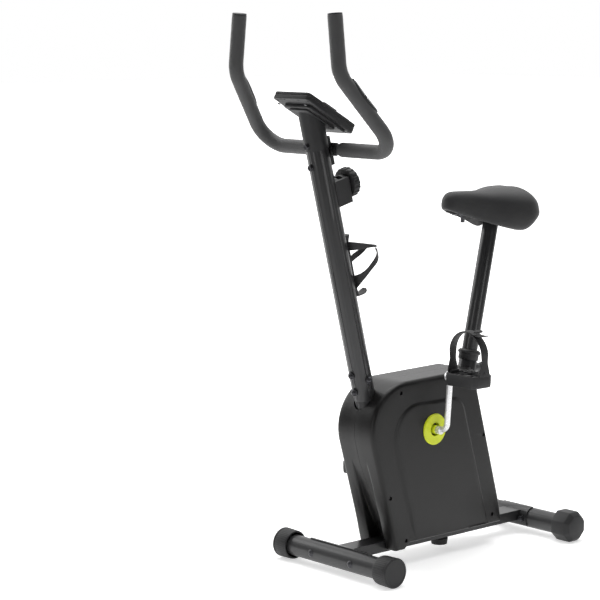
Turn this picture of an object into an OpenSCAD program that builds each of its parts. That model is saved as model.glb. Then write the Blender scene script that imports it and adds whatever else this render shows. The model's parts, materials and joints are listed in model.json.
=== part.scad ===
// Upright exercise bike with magnetic brake, drawn part by part.
// Units: mm. Floor at z = 0, +Z up, +X to the rider's left, the rider faces -Y.

/* [Node] */
// Which node to draw

/* [Base] */
// Distance between the two floor tubes, centre to centre
wheelbase = 618.8; // [500:0.1:800]
// Diameter of the two floor tubes
stab_d = 50; // [40:1:60]
// Length of each floor tube over its end caps
stab_l = 382.6; // [320:0.2:520]
// Radius of the end caps, which rest on the floor
cap_r = 35; // [30:0.5:45]
// Width of the main beam
beam_w = 50; // [40:1:80]
// Height of the main beam
beam_h = 25; // [20:1:60]
// Underside of the main beam above the floor
beam_z = 30; // [20:1:60]

/* [Front post] */
// Outside diameter of the handlebar post
post_d = 52; // [40:1:70]
// Forward lean of the post, degrees from vertical
post_tilt = 14.43; // [0:0.01:25]
// Position of the post axis at a height of 1000 mm, along Y
post_y1000 = -310.9; // [-400:0.1:-200]
// Diameter of the frame stub inside the post
stub_d = 47; // [38:1:60]

/* [Seat] */
// Outside diameter of the sliding seat post
seat_d = 38; // [28:1:45]
// Outside diameter of the frame's seat tube
seat_tube_d = 44; // [36:1:52]
// Backward lean of the seat tube, degrees from vertical
seat_tilt = 12.72; // [0:0.01:20]
// Position of the seat tube axis at a height of 800 mm, along Y
seat_y800 = 267.6; // [200:0.1:350]
// Pitch of the height holes in the seat post
hole_pitch = 20; // [15:1:40]

/* [Drive] */
// Height of the crank axle
crank_z = 313; // [260:1:360]
// Position of the crank axle along Y
crank_y = 8.5; // [-60:0.5:60]
// Crank length, axle to pedal spindle
crank_l = 130; // [110:1:175]
// Lean of the crank from vertical, degrees
crank_lean = 4.8; // [-20:0.1:20]
// Radius of the drive pulley
pulley_r = 100; // [70:1:110]
// Radius of the flywheel pulley
small_r = 24; // [15:1:40]
// Radius of the flywheel
fly_r = 76; // [60:1:78]
// Height of the flywheel axle
fly_z = 146; // [130:1:160]

/* [Cover] */
// Width of the drive cover
cover_w = 130; // [110:1:160]
// Wall thickness of the drive cover
wall = 3; // [2:0.1:5]
// Width of the drive cover's flat top and front
cover_flat = 102.6; // [80:0.2:130]

/* [Handlebar] */
// Diameter of the handlebar tube
bar_d = 22; // [19:0.5:28]
// Outside diameter of the foam grips
foam_d = 33; // [28:0.5:40]
// Height of the straight middle of the handlebar
bar_z = 979.9; // [900:0.1:1100]
// Half length of the bare middle of the handlebar
bare_half = 32; // [25:1:60]

/* [Console] */
// Console width
con_w = 116; // [90:1:160]
// Console length along its slope
con_l = 161; // [120:1:200]
// Slope of the console face, degrees
con_tilt = 28.6; // [10:0.1:50]

/* [Hidden] */
$fn = 48;
e = 0.01;
yf = -239.4;
yr = yf + wheelbase;
tube_z = cap_r;
bolt_xf = 66.5;
bolt_xr = 36;
beam_top = beam_z + beam_h;
y_front = -(yr + cap_r);
function post_y(z) = post_y1000 + (1000 - z) * tan(post_tilt);
function seat_y(z) = seat_y800 - (800 - z) * tan(seat_tilt);
post_lo = 399;
post_hi = 1068;
collar_z = 470;
fly_y = 14;
bb_half = 34;
cx = cover_w / 2;
// handlebar path, left half
h0 = [157.5, y_front + foam_d / 2, 1278.4];
h1 = [172.1, y_front + foam_d / 2, 1150.7];
h2 = [219.5, -267.2, bar_z];
// pedal spindle position on the left
ped_dy = crank_l * sin(crank_lean);
ped_dz = crank_l * cos(crank_lean);
arm_x = 104;
ped_x0 = 114;
ped_w = 98;
ped_l = 66;
ped_h = 29;

steel_black = [0.08, 0.08, 0.09];
plastic_black = [0.05, 0.05, 0.06];
foam_black = [0.07, 0.07, 0.07];
silver = [0.82, 0.83, 0.85];
lime = [0.83, 0.9, 0.1];
grey = [0.45, 0.45, 0.47];

// ---------- helpers ----------
module mir() { children(); mirror([1, 0, 0]) children(); }
// place children in the frame of the post: local Z up the post, +Y to the rider
module on_post(z) { translate([0, post_y(z), z]) rotate([post_tilt, 0, 0]) children(); }
module on_seat(z) { translate([0, seat_y(z), z]) rotate([-seat_tilt, 0, 0]) children(); }
// cylinder along X, centred on x
module xcyl(x, r, h) { translate([x - h / 2, 0, 0]) rotate([0, 90, 0]) cylinder(r = r, h = h); }
module xcone(x, r1, r2, h) { translate([x, 0, 0]) rotate([0, 90, 0]) cylinder(r1 = r1, r2 = r2, h = h); }
module ring2(ro, ri) { difference() { circle(r = ro); if (ri > 0) circle(r = ri); } }
module rrect(w, l, r) {
  square([w - 2 * r, l], center = true);
  square([w, l - 2 * r], center = true);
  for (i = [-1, 1], j = [-1, 1]) translate([i * (w / 2 - r), j * (l / 2 - r)]) circle(r = r);
}
function unit(v) = v / norm(v);
// straight tube between two points
module seg(a, b, ro, ri) {
  d = b - a; L = norm(d);
  translate(a) rotate([0, acos(d[2] / L), atan2(d[1], d[0])])
    linear_extrude(L) ring2(ro, ri);
}
function tlen(a, v, b, r) = r * tan(acos(unit(v - a) * unit(b - v)) / 2);
// bent part of a tube at the corner v
module elbow(a, v, b, r, ro, ri) {
  d1 = unit(v - a); d2 = unit(b - v);
  th = acos(d1 * d2);
  n = unit(d2 - (d2 * d1) * d1);
  c = v - d1 * tlen(a, v, b, r) + n * r;
  z = cross(-n, d1);
  multmatrix([[-n[0], d1[0], z[0], c[0]], [-n[1], d1[1], z[1], c[1]],
              [-n[2], d1[2], z[2], c[2]], [0, 0, 0, 1]])
    rotate_extrude(angle = th) translate([r, 0]) ring2(ro, ri);
}
// bends are a hair thinner than the straights, which lap over them
lap = 1;
thin = 0.03;
module path3(a, v, b, r, ro, ri) {
  t = tlen(a, v, b, r);
  d1 = unit(v - a); d2 = unit(b - v);
  seg(a, v - d1 * (t - lap), ro, ri);
  elbow(a, v, b, r, ro - thin, ri > 0 ? ri + thin : 0);
  seg(v + d2 * (t - lap), b, ro, ri);
}
// straight, bend and next frame of a tube drawn end to end, heading along +Z
module bend(r, th, ro, ri) {
  multmatrix([[-1, 0, 0, r], [0, 0, 1, 0], [0, 1, 0, 0], [0, 0, 0, 1]])
    rotate_extrude(angle = th) translate([r, 0]) ring2(ro, ri);
}
module turned(r, th) { translate([r, 0, 0]) rotate([0, th, 0]) translate([-r, 0, 0]) children(); }
// hex-head bolt, head at z = 0..h, shank down
module bolt(r_head, h_head, r, l) {
  cylinder(r = r_head, h = h_head, $fn = 6);
  translate([0, 0, -l]) cylinder(r = r, h = l);
}
module dome_bolt(r_head, h_head, r, l) {
  intersection() {
    translate([0, 0, h_head - (r_head * r_head + h_head * h_head) / (2 * h_head)])
      sphere(r = (r_head * r_head + h_head * h_head) / (2 * h_head));
    cylinder(r = r_head, h = h_head + 1);
  }
  translate([0, 0, -l]) cylinder(r = r, h = l);
}

// ---------- base ----------
module main_frame() color(steel_black) {
  bz = crank_z;
  difference() {
    union() {
      // beam between the two floor tubes
      translate([-beam_w / 2, yf + 6, beam_z]) cube([beam_w, wheelbase - 12, beam_h]);
      // stub that carries the front post
      translate([0, post_y(beam_z + 5), beam_z + 5]) rotate([post_tilt, 0, 0])
        cylinder(d = stub_d, h = 440);
      // seat tube
      translate([0, seat_y(beam_z + 5), beam_z + 5]) rotate([-seat_tilt, 0, 0])
        cylinder(d = seat_tube_d, h = (collar_z - 4 - beam_z - 5) / cos(seat_tilt));
      // brace carrying the crank shell
      translate([-14, post_y(bz), bz - 15]) cube([28, seat_y(bz) - post_y(bz), 30]);
      translate([0, crank_y, bz]) xcyl(0, 21, 2 * bb_half);
      // flywheel plates
      for (s = [-1, 1]) translate([s * 19.5 - 2.5, fly_y - 24, beam_top - 1]) cube([5, 48, 102]);
      for (s = [-1, 1]) translate([s * 19.5, fly_y, fly_z]) xcyl(0, 24, 5);
      // pivot lug of the magnet bracket
      translate([-6, post_y(252) + 10, 243]) cube([12, 38, 18]);
      // welded boss for the seat lock
      on_seat(436) rotate([-90, 0, 0]) cylinder(r = 12, h = 34);
    }
    // hollow beam
    translate([-beam_w / 2 + 2, yf - 1, beam_z + 2]) cube([beam_w - 4, wheelbase + 2, beam_h - 4]);
    // floor tubes bite into the beam ends
    for (y = [yf, yr]) translate([0, y, tube_z]) xcyl(0, stab_d / 2 + 1, 80);
    // bores of the two tubes
    translate([0, post_y(beam_top), beam_top]) rotate([post_tilt, 0, 0])
      translate([0, 0, 8]) cylinder(d = stub_d - 5, h = 470);
    translate([0, seat_y(beam_top), beam_top]) rotate([-seat_tilt, 0, 0])
      translate([0, 0, 8]) cylinder(d = seat_tube_d - 3.5, h = 460);
    // crank shell bore
    translate([0, crank_y, bz]) xcyl(0, 17.5, 2 * bb_half + 2);
    // flywheel bearing seats
    translate([0, fly_y, fly_z]) xcyl(0, 14, 60);
    translate([0, post_y(252) + 40, 252]) xcyl(0, 3.05, 30);
    // lock pin bore
    on_seat(436) rotate([-90, 0, 0]) cylinder(r = 8, h = 40);
    // bolt holes for the post
    for (z = [462, 422]) on_post(z) rotate([90, 0, 0]) cylinder(r = 4.2, h = 40);
    on_post(446) mir() rotate([0, 90, 0]) cylinder(r = 4.2, h = 40);
    // bumper hole
    translate([0, 95, beam_z - 1]) cylinder(r = 4.1, h = 6);
  }
  saddle_plate(yf, 1, 190, bolt_xf);
  saddle_plate(yr, -1, 96, bolt_xr);
}

module saddle_plate(y, s, w, x) {
  // curved plate welded to the beam end that hugs the floor tube
  difference() {
    translate([0, y, tube_z]) xcyl(0, stab_d / 2 + 3, w);
    translate([0, y, tube_z]) xcyl(0, stab_d / 2 + 0.05, w + 2);
    translate([-w, s > 0 ? y - 60 : y, -10]) cube([2 * w, 60, 100]);
    translate([-w, y - 40, 0]) cube([2 * w, 80, 18]);
    mir() translate([x, y, tube_z]) rotate([90, 0, 0]) translate([0, 0, -40]) cylinder(r = 4.1, h = 80);
  }
}
module floor_tube(x) {
  difference() {
    xcyl(0, stab_d / 2, stab_l - 22);
    xcyl(0, stab_d / 2 - 2, stab_l);
    mir() translate([x, 0, 0]) rotate([90, 0, 0]) translate([0, 0, -40]) cylinder(r = 4.1, h = 80);
  }
}
module front_stabilizer() color(steel_black) translate([0, yf, tube_z]) floor_tube(bolt_xf);
module rear_stabilizer() color(steel_black) translate([0, yr, tube_z]) floor_tube(bolt_xr);
module stabilizer_bolts() color(silver) {
  for (q = [[yf, 1, bolt_xf], [yr, -1, bolt_xr]]) mir() translate([q[2], q[0], tube_z]) rotate([q[1] * 90, 0, 0]) {
    translate([0, 0, stab_d / 2 + e]) dome_bolt(9, 4, 4, 62);
    translate([0, 0, -stab_d / 2 - 3.1]) rotate([180, 0, 0]) difference() {
      union() { cylinder(r = 9, h = 1.5); translate([0, 0, 1.5]) cylinder(r = 7.5, h = 7, $fn = 6); }
      translate([0, 0, -1]) cylinder(r = 4, h = 20);
    }
  }
}
// transport roller: a cup over the tube end, turning on a stub shaft in a plug
module roller() {
  x1 = stab_l / 2;
  difference() {
    union() {
      xcone(x1 - 44, 33, 34.4, 38);
      xcone(x1 - 6.3, cap_r, cap_r, 4);
      xcone(x1 - 2.4, cap_r - 0.1, cap_r - 2.4, 2.4);
      for (a = [0:30:330]) rotate([a, 0, 0]) translate([x1 - 42, -1.5, 30]) cube([37, 3, 4.6]);
    }
    xcone(x1 - 50, 29.2, 29.2, 50 - 9.3);
  }
  xcone(x1 - 43.3, 5.95, 5.95, 36);
}
module roller_left() color(plastic_black) translate([0, yf, tube_z]) roller();
module roller_right() color(plastic_black) mirror([1, 0, 0]) translate([0, yf, tube_z]) roller();
module roller_plugs() color(plastic_black) mir() translate([0, yf, tube_z]) difference() {
  xcone(stab_l / 2 - 39.3, stab_d / 2 - 2.1, stab_d / 2 - 2.1, 28.3);
  xcone(stab_l / 2 - 41, 6, 6, 32);
}
// levelling cap: the octagon sits off centre on the tube, so turning the cap lifts the frame
cap_ecc = 1.5;
module rear_cap() {
  x1 = stab_l / 2;
  ap = (cap_r + cap_ecc) / cos(22.5);
  difference() {
    union() {
      translate([x1 - 52, 0, cap_ecc]) rotate([0, 90, 0]) rotate(22.5) cylinder(r = ap, h = 42, $fn = 8);
      translate([x1 - 11, 0, cap_ecc]) rotate([0, 90, 0]) rotate(22.5)
        cylinder(r1 = ap - 0.4, r2 = ap - 9, h = 11, $fn = 8);
      translate([x1 - 60, 0, 0]) rotate([0, 90, 0]) cylinder(r = 29, h = 9);
    }
    xcyl(x1 - 11 - 40, stab_d / 2 + 0.06, 80);
  }
}
module rear_cap_left() color(plastic_black) translate([0, yr, tube_z]) rear_cap();
module rear_cap_right() color(plastic_black) mirror([1, 0, 0]) translate([0, yr, tube_z]) rear_cap();
module centre_bumper() color(plastic_black) translate([0, 95, 0]) {
  translate([0, 0, beam_z - 6]) cylinder(r = 6, h = 6);
  translate([0, 0, beam_z - e]) cylinder(r = 4, h = 4);
  translate([0, 0, 10]) cylinder(r1 = 19, r2 = 21, h = beam_z - 16);
}

// ---------- drive cover ----------
// outline of the cover seen from the side: [y, z]
cov = [[-114, 50], [-135.5, 127], [-155.5, 197], [-168.5, 240], [-183.5, 292], [-186.5, 308],
       [-187, 322], [-185, 344], [-176, 376], [-158, 402], [-134, 422], [-108, 432], [-88, 435],
       [90, 440], [138, 440], [152, 434], [158, 422], [161, 392], [183, 308], [203, 236],
       [241, 107], [249, 62], [249, 50]];
cov_c = [40, 240];
function inset(p, d) = [for (q = p) let (v = cov_c - q) q + d * [sign(v[0]) * min(1, abs(v[0]) / 60),
                         sign(v[1]) * min(1, abs(v[1]) / 60)]];
module prof(x, p, t) { translate([x, 0, 0]) rotate([90, 0, 90]) linear_extrude(t) polygon(p); }
module cover_body(d) {
  // left half of the solid body, inset by d
  fl = cover_flat / 2;
  hull() {
    prof(0, inset(cov, d), fl - d * 0.6);
    prof(0, inset(cov, 12 + d), cx - arch_h - d);
  }
}
module rear_bulge(d) {
  // narrower rounded back that covers the seat tube
  hull() for (q = [[118, 424], [118, 240], [180, 60]], s = [0, 1])
    translate([0, q[0] + 26 + s * 24 - d, q[1] - (q[1] > 400 ? d : 0)])
      rotate([0, 90, 0]) cylinder(r = 8, h = (s == 1 ? 30 : 44) - d, $fn = 12);
}
// height of the arched panel over the side of the cover
arch_h = 2.7;
module channel(g) {
  // hollow down the front between the two shells
  translate([-e, -114, 40]) rotate([15.5, 0, 0]) translate([0, -60, -20])
    rotate([9.5, 0, 0]) cube([24 + g, 96 + g, 236 + g]);
}
module cover_left_solid() {
  difference() {
    union() { cover_body(0); rear_bulge(0); }
    difference() { union() { cover_body(wall); rear_bulge(wall); } channel(wall); }
    channel(0);
  }
}
cover_screw_pts = [[-98.8, 411.4], [181.1, 276], [-131, 166.9], [-79, 58], [214, 74]];
module cover_left_part() {
  difference() {
    union() {
      cover_left_solid();
      // raised arched panel on the side
      translate([cx - arch_h - 1, 0, 0]) rotate([90, 0, 90]) linear_extrude(arch_h + 1) arch2();
      // screw bosses
      intersection() {
        cover_body(1);
        for (q = cover_screw_pts) translate([28, q[0], q[1]]) rotate([0, 90, 0]) cylinder(r = 6, h = cx - 28);
      }
      // foot lobe under the front corner
      difference() {
        translate([28, -124, 36]) cube([34, 40, 20]);
        translate([31, -121, 39]) cube([28, 34, 30]);
      }
    }
    // hub opening
    translate([0, crank_y, crank_z]) xcyl(cx, 30, 40);
    // screw holes and recesses
    for (q = cover_screw_pts) translate([0, q[0], q[1]]) {
      xcyl(45, 1.66, 40);
      xcyl(cx, 4.5, 22.4);
    }
    // post, stub and seat tube pass through
    on_post(400) translate([0, 0, -120]) cylinder(r = post_d / 2 + 0.8, h = 260);
    on_post(400) translate([0, 0, -390]) cylinder(r = stub_d / 2 + 0.8, h = 300);
    on_seat(400) translate([0, 0, -60]) cylinder(r = seat_tube_d / 2 + 0.8, h = 160);
    on_seat(436) rotate([-90, 0, 0]) cylinder(r = 12.6, h = 60);
    // beam passes through the bottom, which is open on both sides of it
    translate([-1, -300, 20]) cube([beam_w / 2 + 1.6, 620, beam_top - 20 + 0.6]);
    translate([27, -62, 30]) cube([31, 285, 24]);
    translate([-60, -400, -100]) cube([60, 900, 700]);
  }
}
module arch2() {
  polygon([[-120, 300], [-118, 318], [-111, 338], [-96, 358], [-78, 371], [-55, 379], [0, 381],
           [45, 379], [76, 375], [92, 368], [103, 357], [110, 345], [117, 325], [188, 95],
           [170, 76], [-52, 76], [-70, 96], [-112, 236]]);
}
module cover_left() color(plastic_black) cover_left_part();
module cover_right() color(plastic_black) mirror([1, 0, 0]) cover_left_part();
module cover_screws() color(silver)
  mir() for (q = cover_screw_pts) translate([0, q[0], q[1]]) {
    xcyl(cx - 9.6, 4, 3);
    xcyl(cx - 21, 1.6, 20);
  }
module hub_rings() color(lime) mir() translate([0, crank_y, crank_z]) difference() {
  union() {
    xcone(cx + e, 37, 37, 2);
    xcone(cx + 2, 37, 34.5, 2.5);
    xcone(cx - 6, 29.9, 29.9, 6 + 2 * e);
  }
  xcyl(cx, 16, 30);
}

// ---------- drive ----------
module crank_axle() color(silver) translate([0, crank_y, crank_z]) {
  xcyl(0, 8.5, 152);
  mir() xcyl(80, 8, 8);
}
module axle_bearings() color(grey) mir() translate([0, crank_y, crank_z]) difference() {
  xcyl(bb_half - 6, 17.5, 12);
  xcyl(bb_half - 6, 8.55, 14);
}
module drive_pulley() color(plastic_black) translate([0, crank_y, crank_z]) difference() {
  union() {
    xcyl(43, pulley_r, 12);
    xcyl(43, 22, 16);
  }
  translate([0, 0, 0]) difference() { xcyl(37.5, pulley_r - 10, 7); xcyl(37.5, 26, 8); }
  difference() { xcyl(48.5, pulley_r - 10, 7); xcyl(48.5, 26, 8); }
  for (a = [0:60:300]) rotate([a, 0, 0]) translate([0, 0, 58]) xcyl(43, 18, 20);
  xcyl(43, 8.5, 30);
}
module crank_arm() {
  // bent bar from the axle end up to the pedal eye
  a = [78, 0, 0]; v = [arm_x, 1.5, 6]; b = [arm_x, ped_dy, ped_dz - 8];
  difference() {
    union() {
      path3(a, v, b, 15, 7, 0);
      xcyl(82, 9.6, 12);
      translate([0, ped_dy, ped_dz]) xcyl(arm_x, 12, 14);
    }
    xcyl(76, 8, 16);
    translate([0, ped_dy, ped_dz]) xcyl(arm_x, 5, 30);
  }
}
module crank_left() color(silver) translate([0, crank_y, crank_z]) {
  crank_arm();
  translate([0, ped_dy, ped_dz]) { xcyl(arm_x + 48.5, 5, 111); xcyl(arm_x + 8.5, 8, 3); xcyl(ped_x0 + ped_w - 6, 7.5, 2); }
}
module crank_right() color(silver) translate([0, crank_y, crank_z]) mirror([1, 0, 0]) rotate([180, 0, 0]) {
  crank_arm();
  translate([0, ped_dy, ped_dz]) { xcyl(arm_x + 48.5, 5, 111); xcyl(arm_x + 8.5, 8, 3); xcyl(ped_x0 + ped_w - 6, 7.5, 2); }
}
module crank_caps() color(lime) mir() translate([0, crank_y, crank_z]) difference() {
  union() { xcyl(cx - 0.5, 10.4, 13); xcone(cx + 6 - e, 10.4, 9.6, 4.8); }
  xcyl(cx, 8.5, 60);
}
module pedal_body() {
  w = ped_w; l = ped_l; h = ped_h;
  translate([ped_x0 + w / 2, 0, 0]) difference() {
    union() {
      difference() {
        translate([0, 0, -h / 2]) linear_extrude(h) rrect(w, l, 15);
        translate([0, 0, -h / 2 - 1]) linear_extrude(h + 2) rrect(w - 12, l - 14, 10);
      }
      // spindle barrel and cross ribs
      xcyl(0, 11, w - 6);
      for (x = [-28, -9, 9, 28]) translate([x - 1.5, -l / 2 + 3, -h / 2 + 4]) cube([3, l - 6, h - 8]);
      // strap ears
      for (s = [-1, 1]) translate([s * (w / 2 - 4) - 3, -14, h / 2 - 6]) cube([6, 28, 10]);
    }
    xcyl(0, 5.05, w + 4);
    // pocket for the spindle nut
    translate([w / 2 - 9, 0, 0]) xcyl(0, 8.2, 6);
    xcyl(w / 2 - 4.5, 8.2, 12);
    translate([-w / 2 - 1, 0, 0]) xcyl(0, 8.3, 2.4);
  }
}
module ped_at() { translate([0, crank_y + ped_dy, crank_z + ped_dz]) children(); }
module pedal_left() color(plastic_black) ped_at() pedal_body();
module pedal_right() color(plastic_black) mirror([1, 0, 0])
  translate([0, crank_y - ped_dy, crank_z - ped_dz]) pedal_body();
module strap_shape() {
  // rubber foot strap, a tall hoop whose legs lie against the sides of the pedal
  w = ped_w / 2 + 0.1; t = 2.6; z0 = 12.5; z1 = 76.5; top = 114.5; r = 37;
  translate([ped_x0 + ped_w / 2, 11, 0]) rotate([90, 0, 0]) linear_extrude(22) difference() {
    union() {
      translate([-w - t, z0]) square([2 * (w + t), z1 - z0]);
      translate([0, top - 50]) intersection() {
        rrect(2 * (w + t), 100, r);
        translate([-w - t, z1 - top + 50 - 1]) square([2 * (w + t), 60]);
      }
    }
    translate([-w, z0 - 1]) square([2 * w, z1 - z0 + 1]);
    translate([0, top - t - 50]) intersection() {
      rrect(2 * w, 100, r - t);
      translate([-w, z1 - top + t + 50 - 2]) square([2 * w, 60]);
    }
  }
  // the legs widen where they are held by the pedal
  for (s = [-1, 1]) translate([ped_x0 + ped_w / 2 + s * (w + t / 2) - t / 2, -17, z0]) cube([t, 34, 13]);
}
module strap_left() color(plastic_black) ped_at() strap_shape();
module strap_right() color(plastic_black) mirror([1, 0, 0])
  translate([0, crank_y - ped_dy, crank_z - ped_dz]) strap_shape();
function arc(c, r, a0, a1, n) = [for (i = [0:n]) let (a = a0 + (a1 - a0) * i / n) [c + r * cos(a), r * sin(a)]];
module belt() color(plastic_black) {
  g = 0.5; t = 3;
  d = norm([fly_y - crank_y, fly_z - crank_z]);
  b = acos((pulley_r - small_r) / d);
  translate([37.5, crank_y, crank_z]) rotate([90, 0, 90]) rotate(atan2(fly_z - crank_z, fly_y - crank_y))
    linear_extrude(11) difference() {
      polygon(concat(arc(0, pulley_r + g + t, b, 360 - b, 48), arc(d, small_r + g + t, -b, b, 18)));
      polygon(concat(arc(0, pulley_r + g, b, 360 - b, 48), arc(d, small_r + g, -b, b, 18)));
    }
}
module flywheel() color(grey) translate([0, fly_y, fly_z]) difference() {
  union() {
    xcyl(0, fly_r, 22);
    xcyl(0, 18, 30);
    xcyl(9, 6, 84);
    xcyl(43, small_r, 12);
  }
  difference() { xcyl(8.5, fly_r - 18, 7); xcyl(8.5, 24, 8); }
  difference() { xcyl(-8.5, fly_r - 18, 7); xcyl(-8.5, 24, 8); }
}
module flywheel_bearings() color(grey) for (s = [-1, 1]) translate([s * 19.5, fly_y, fly_z]) difference() {
  xcyl(0, 14, 6);
  xcyl(0, 6.05, 8);
}
module magnet_bracket() color(steel_black) {
  // arched keeper over the top of the flywheel, hinged at the front lug
  py = post_y(252) + 40; pz = 252;
  difference() {
    union() {
      translate([0, fly_y, fly_z]) intersection() {
        difference() { xcyl(0, fly_r + 16, 30); xcyl(0, fly_r + 11, 34); }
        translate([-40, -48, 40]) cube([80, 96, 80]);
      }
      for (s = [-1, 1]) translate([s * 11.5 - 2.5, 0, 0]) rotate([90, 0, 90]) linear_extrude(5)
        polygon([[py - 7, pz - 6], [py - 7, pz + 6], [py + 8, pz + 6], [fly_y - 30, 239], [fly_y - 38, 222], [fly_y - 48, 218], [py, pz - 8]]);
      translate([0, py, pz]) mir() xcyl(11.5, 8, 5);
      for (s = [-1, 1]) translate([s * 11.5 - 2.5, fly_y - 50, 222]) cube([5, 16, 12]);
    }
    translate([0, fly_y, fly_z]) xcyl(0, fly_r + 11, 34);
    translate([-6.3, py - 14, pz - 14]) cube([12.6, 26, 28]);
  }
  translate([0, py, pz]) xcyl(0, 3, 30);
}
module magnets() color(silver) {
  for (a = [-20, 0, 20]) translate([0, fly_y, fly_z]) rotate([a, 0, 0]) intersection() {
    difference() { xcyl(0, fly_r + 11, 22); xcyl(0, fly_r + 5, 24); }
    translate([-12, -10, 0]) cube([24, 20, 120]);
  }
}

// ---------- seat ----------
module seat_bushing() color(plastic_black) on_seat(collar_z) {
  difference() {
    union() {
      translate([0, 0, -5]) cylinder(r = 27.5, h = 6);
      translate([0, 0, 1]) cylinder(r1 = 27.5, r2 = 23, h = 4);
      translate([0, 0, -75]) cylinder(r = (seat_tube_d - 3.5) / 2, h = 75);
      difference() {
        translate([0, 0, -20]) cylinder(r = 24.5, h = 16);
        translate([0, 0, -21]) cylinder(r = seat_tube_d / 2, h = 17);
      }
    }
    translate([0, 0, -80]) cylinder(r = seat_d / 2 + 0.06, h = 90);
    translate([0, 0, -(collar_z - 436) / cos(seat_tilt)]) rotate([-90, 0, 0]) cylinder(r = 5.5, h = 40);
  }
}
seat_s0 = -170;
seat_s1 = (783 - collar_z) / cos(seat_tilt);
pin_s = (436 - collar_z) / cos(seat_tilt);
module seat_post() color(steel_black) on_seat(collar_z) difference() {
  translate([0, 0, seat_s0]) cylinder(d = seat_d, h = seat_s1 - seat_s0);
  translate([0, 0, seat_s0 - 1]) cylinder(d = seat_d - 4, h = seat_s1 - seat_s0 + 2);
  for (i = [-6:6]) translate([0, 0, pin_s + i * hole_pitch]) rotate([-90, 0, 0]) cylinder(r = 4.6, h = 30);
}
module lock_pin() color(plastic_black) on_seat(436) rotate([-90, 0, 0]) {
  translate([0, 0, seat_d / 2 + 0.8]) cylinder(r = 4, h = 32);
  translate([0, 0, 44]) cylinder(r1 = 9, r2 = 15, h = 6);
  translate([0, 0, 50]) cylinder(r = 15, h = 12);
  translate([0, 0, 62]) cylinder(r1 = 15, r2 = 11, h = 4);
}
module lock_bushing() color(silver) on_seat(436) rotate([-90, 0, 0]) difference() {
  union() { translate([0, 0, 23.5]) cylinder(r = 8, h = 12); translate([0, 0, 34]) cylinder(r = 11, h = 6, $fn = 6); }
  cylinder(r = 4.06, h = 60);
}
// saddle clamp axis
clamp_z = 797;
clamp_y = seat_y(clamp_z);
rail_z = clamp_z + 8;
module saddle_clamp() color(silver) {
  difference() {
    union() {
      translate([0, clamp_y, clamp_z]) xcyl(0, 11, 34);
      on_seat(783) translate([0, 0, -32]) cylinder(r = seat_d / 2 - 2.02, h = 34);
      on_seat(783) translate([0, 0, 0.02]) cylinder(r = seat_d / 2, h = 3);
      on_seat(783) translate([0, 0, 1]) cylinder(r = 13, h = 9);
    }
    translate([0, clamp_y, clamp_z]) xcyl(0, 4, 60);
  }
}
module clamp_plates() color(steel_black) translate([0, clamp_y, clamp_z]) {
  mir() difference() {
    union() {
      xcyl(22, 9, 9.8);
      translate([17.1, -20, -4]) cube([9.8, 40, 16]);
    }
    xcyl(22, 4, 12);
    translate([0, 0, rail_z - clamp_z]) rotate([90, 0, 0]) translate([22, 0, -40]) cylinder(r = 3.56, h = 80);
  }
  xcyl(0, 3.94, 70);
  mir() translate([27 + e, 0, 0]) rotate([0, 90, 0]) cylinder(r = 8, h = 6, $fn = 6);
}
rail_end_z = 807.9;
module saddle_rails() color(silver) {
  mir() {
    translate([22, clamp_y - 60, rail_z]) rotate([-90, 0, 0]) cylinder(r = 3.5, h = 120);
    seg([22, clamp_y - 60, rail_z], [9, 140, rail_end_z], 3.5, 0);
    translate([9, 140, rail_end_z - 2]) cylinder(r = 3.4, h = 9.5);
    translate([22, clamp_y - 60, rail_z]) sphere(r = 3.7);
    seg([22, clamp_y + 60, rail_z], [34, 334, rail_end_z], 3.5, 0);
    translate([34, 334, rail_end_z - 2]) cylinder(r = 3.4, h = 9.5);
    translate([22, clamp_y + 60, rail_z]) sphere(r = 3.7);
  }
  // tensioning screw under the nose
  translate([0, 164.6, 786]) cylinder(r = 5, h = 26);
}
module saddle_solid() {
  // nose and narrow neck
  hull() {
    translate([0, 128, 834]) sphere(r = 28);
    translate([0, 196, 830]) sphere(r = 32);
  }
  // neck widening into the wings
  hull() {
    translate([0, 196, 830]) sphere(r = 31.8);
    mir() translate([26, 240, 826]) sphere(r = 38);
  }
  // seat wings
  hull() {
    mir() {
      translate([26, 241, 826]) sphere(r = 37.5);
      translate([53, 298, 810]) sphere(r = 48);
      translate([52, 322, 822]) sphere(r = 43);
    }
    translate([0, 328, 826]) sphere(r = 39);
  }
}
// plan of the saddle at its base plate, inset by d
// closes an outline given for its right half only
function both_sides(pts) = concat(pts, [for (i = [len(pts) - 1:-1:0]) [-pts[i][0], pts[i][1]]]);
module saddle_plan(d)
  polygon(both_sides([[(27 - d) / 2, 104.6 + d * 0.87], [27 - d, 128], [30 - d, 196], [62 - d, 240],
                      [98 - d, 290], [99 - d, 315], [93 - d, 335], [60, 364 - d]]));
base_z = 812;
base_t = 8;
module saddle_base() color(plastic_black) difference() {
  translate([0, 0, base_z]) linear_extrude(base_t) saddle_plan(12.1);
  mir() translate([34, 334, base_z - 1]) cylinder(r = 3.46, h = 5);
  mir() translate([9, 140, base_z - 1]) cylinder(r = 3.46, h = 5);
  translate([0, 164.6, base_z - 1]) cylinder(r = 5.2, h = 4);
}
module saddle_pad() color(plastic_black) difference() {
  saddle_solid();
  // skirt is cut by a plane that falls to the back
  translate([-150, 60, 834]) rotate([-17.5, 0, 0]) translate([0, -40, -150]) cube([300, 460, 150]);
  // seat of the base plate and open underside
  translate([0, 0, base_z]) linear_extrude(base_t) saddle_plan(12);
  translate([0, 0, base_z - 110]) linear_extrude(110 + e) {
    saddle_plan(24);
    polygon(both_sides([[16, 80], [16, 150], [38, 240]]));
  }
}

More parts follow.
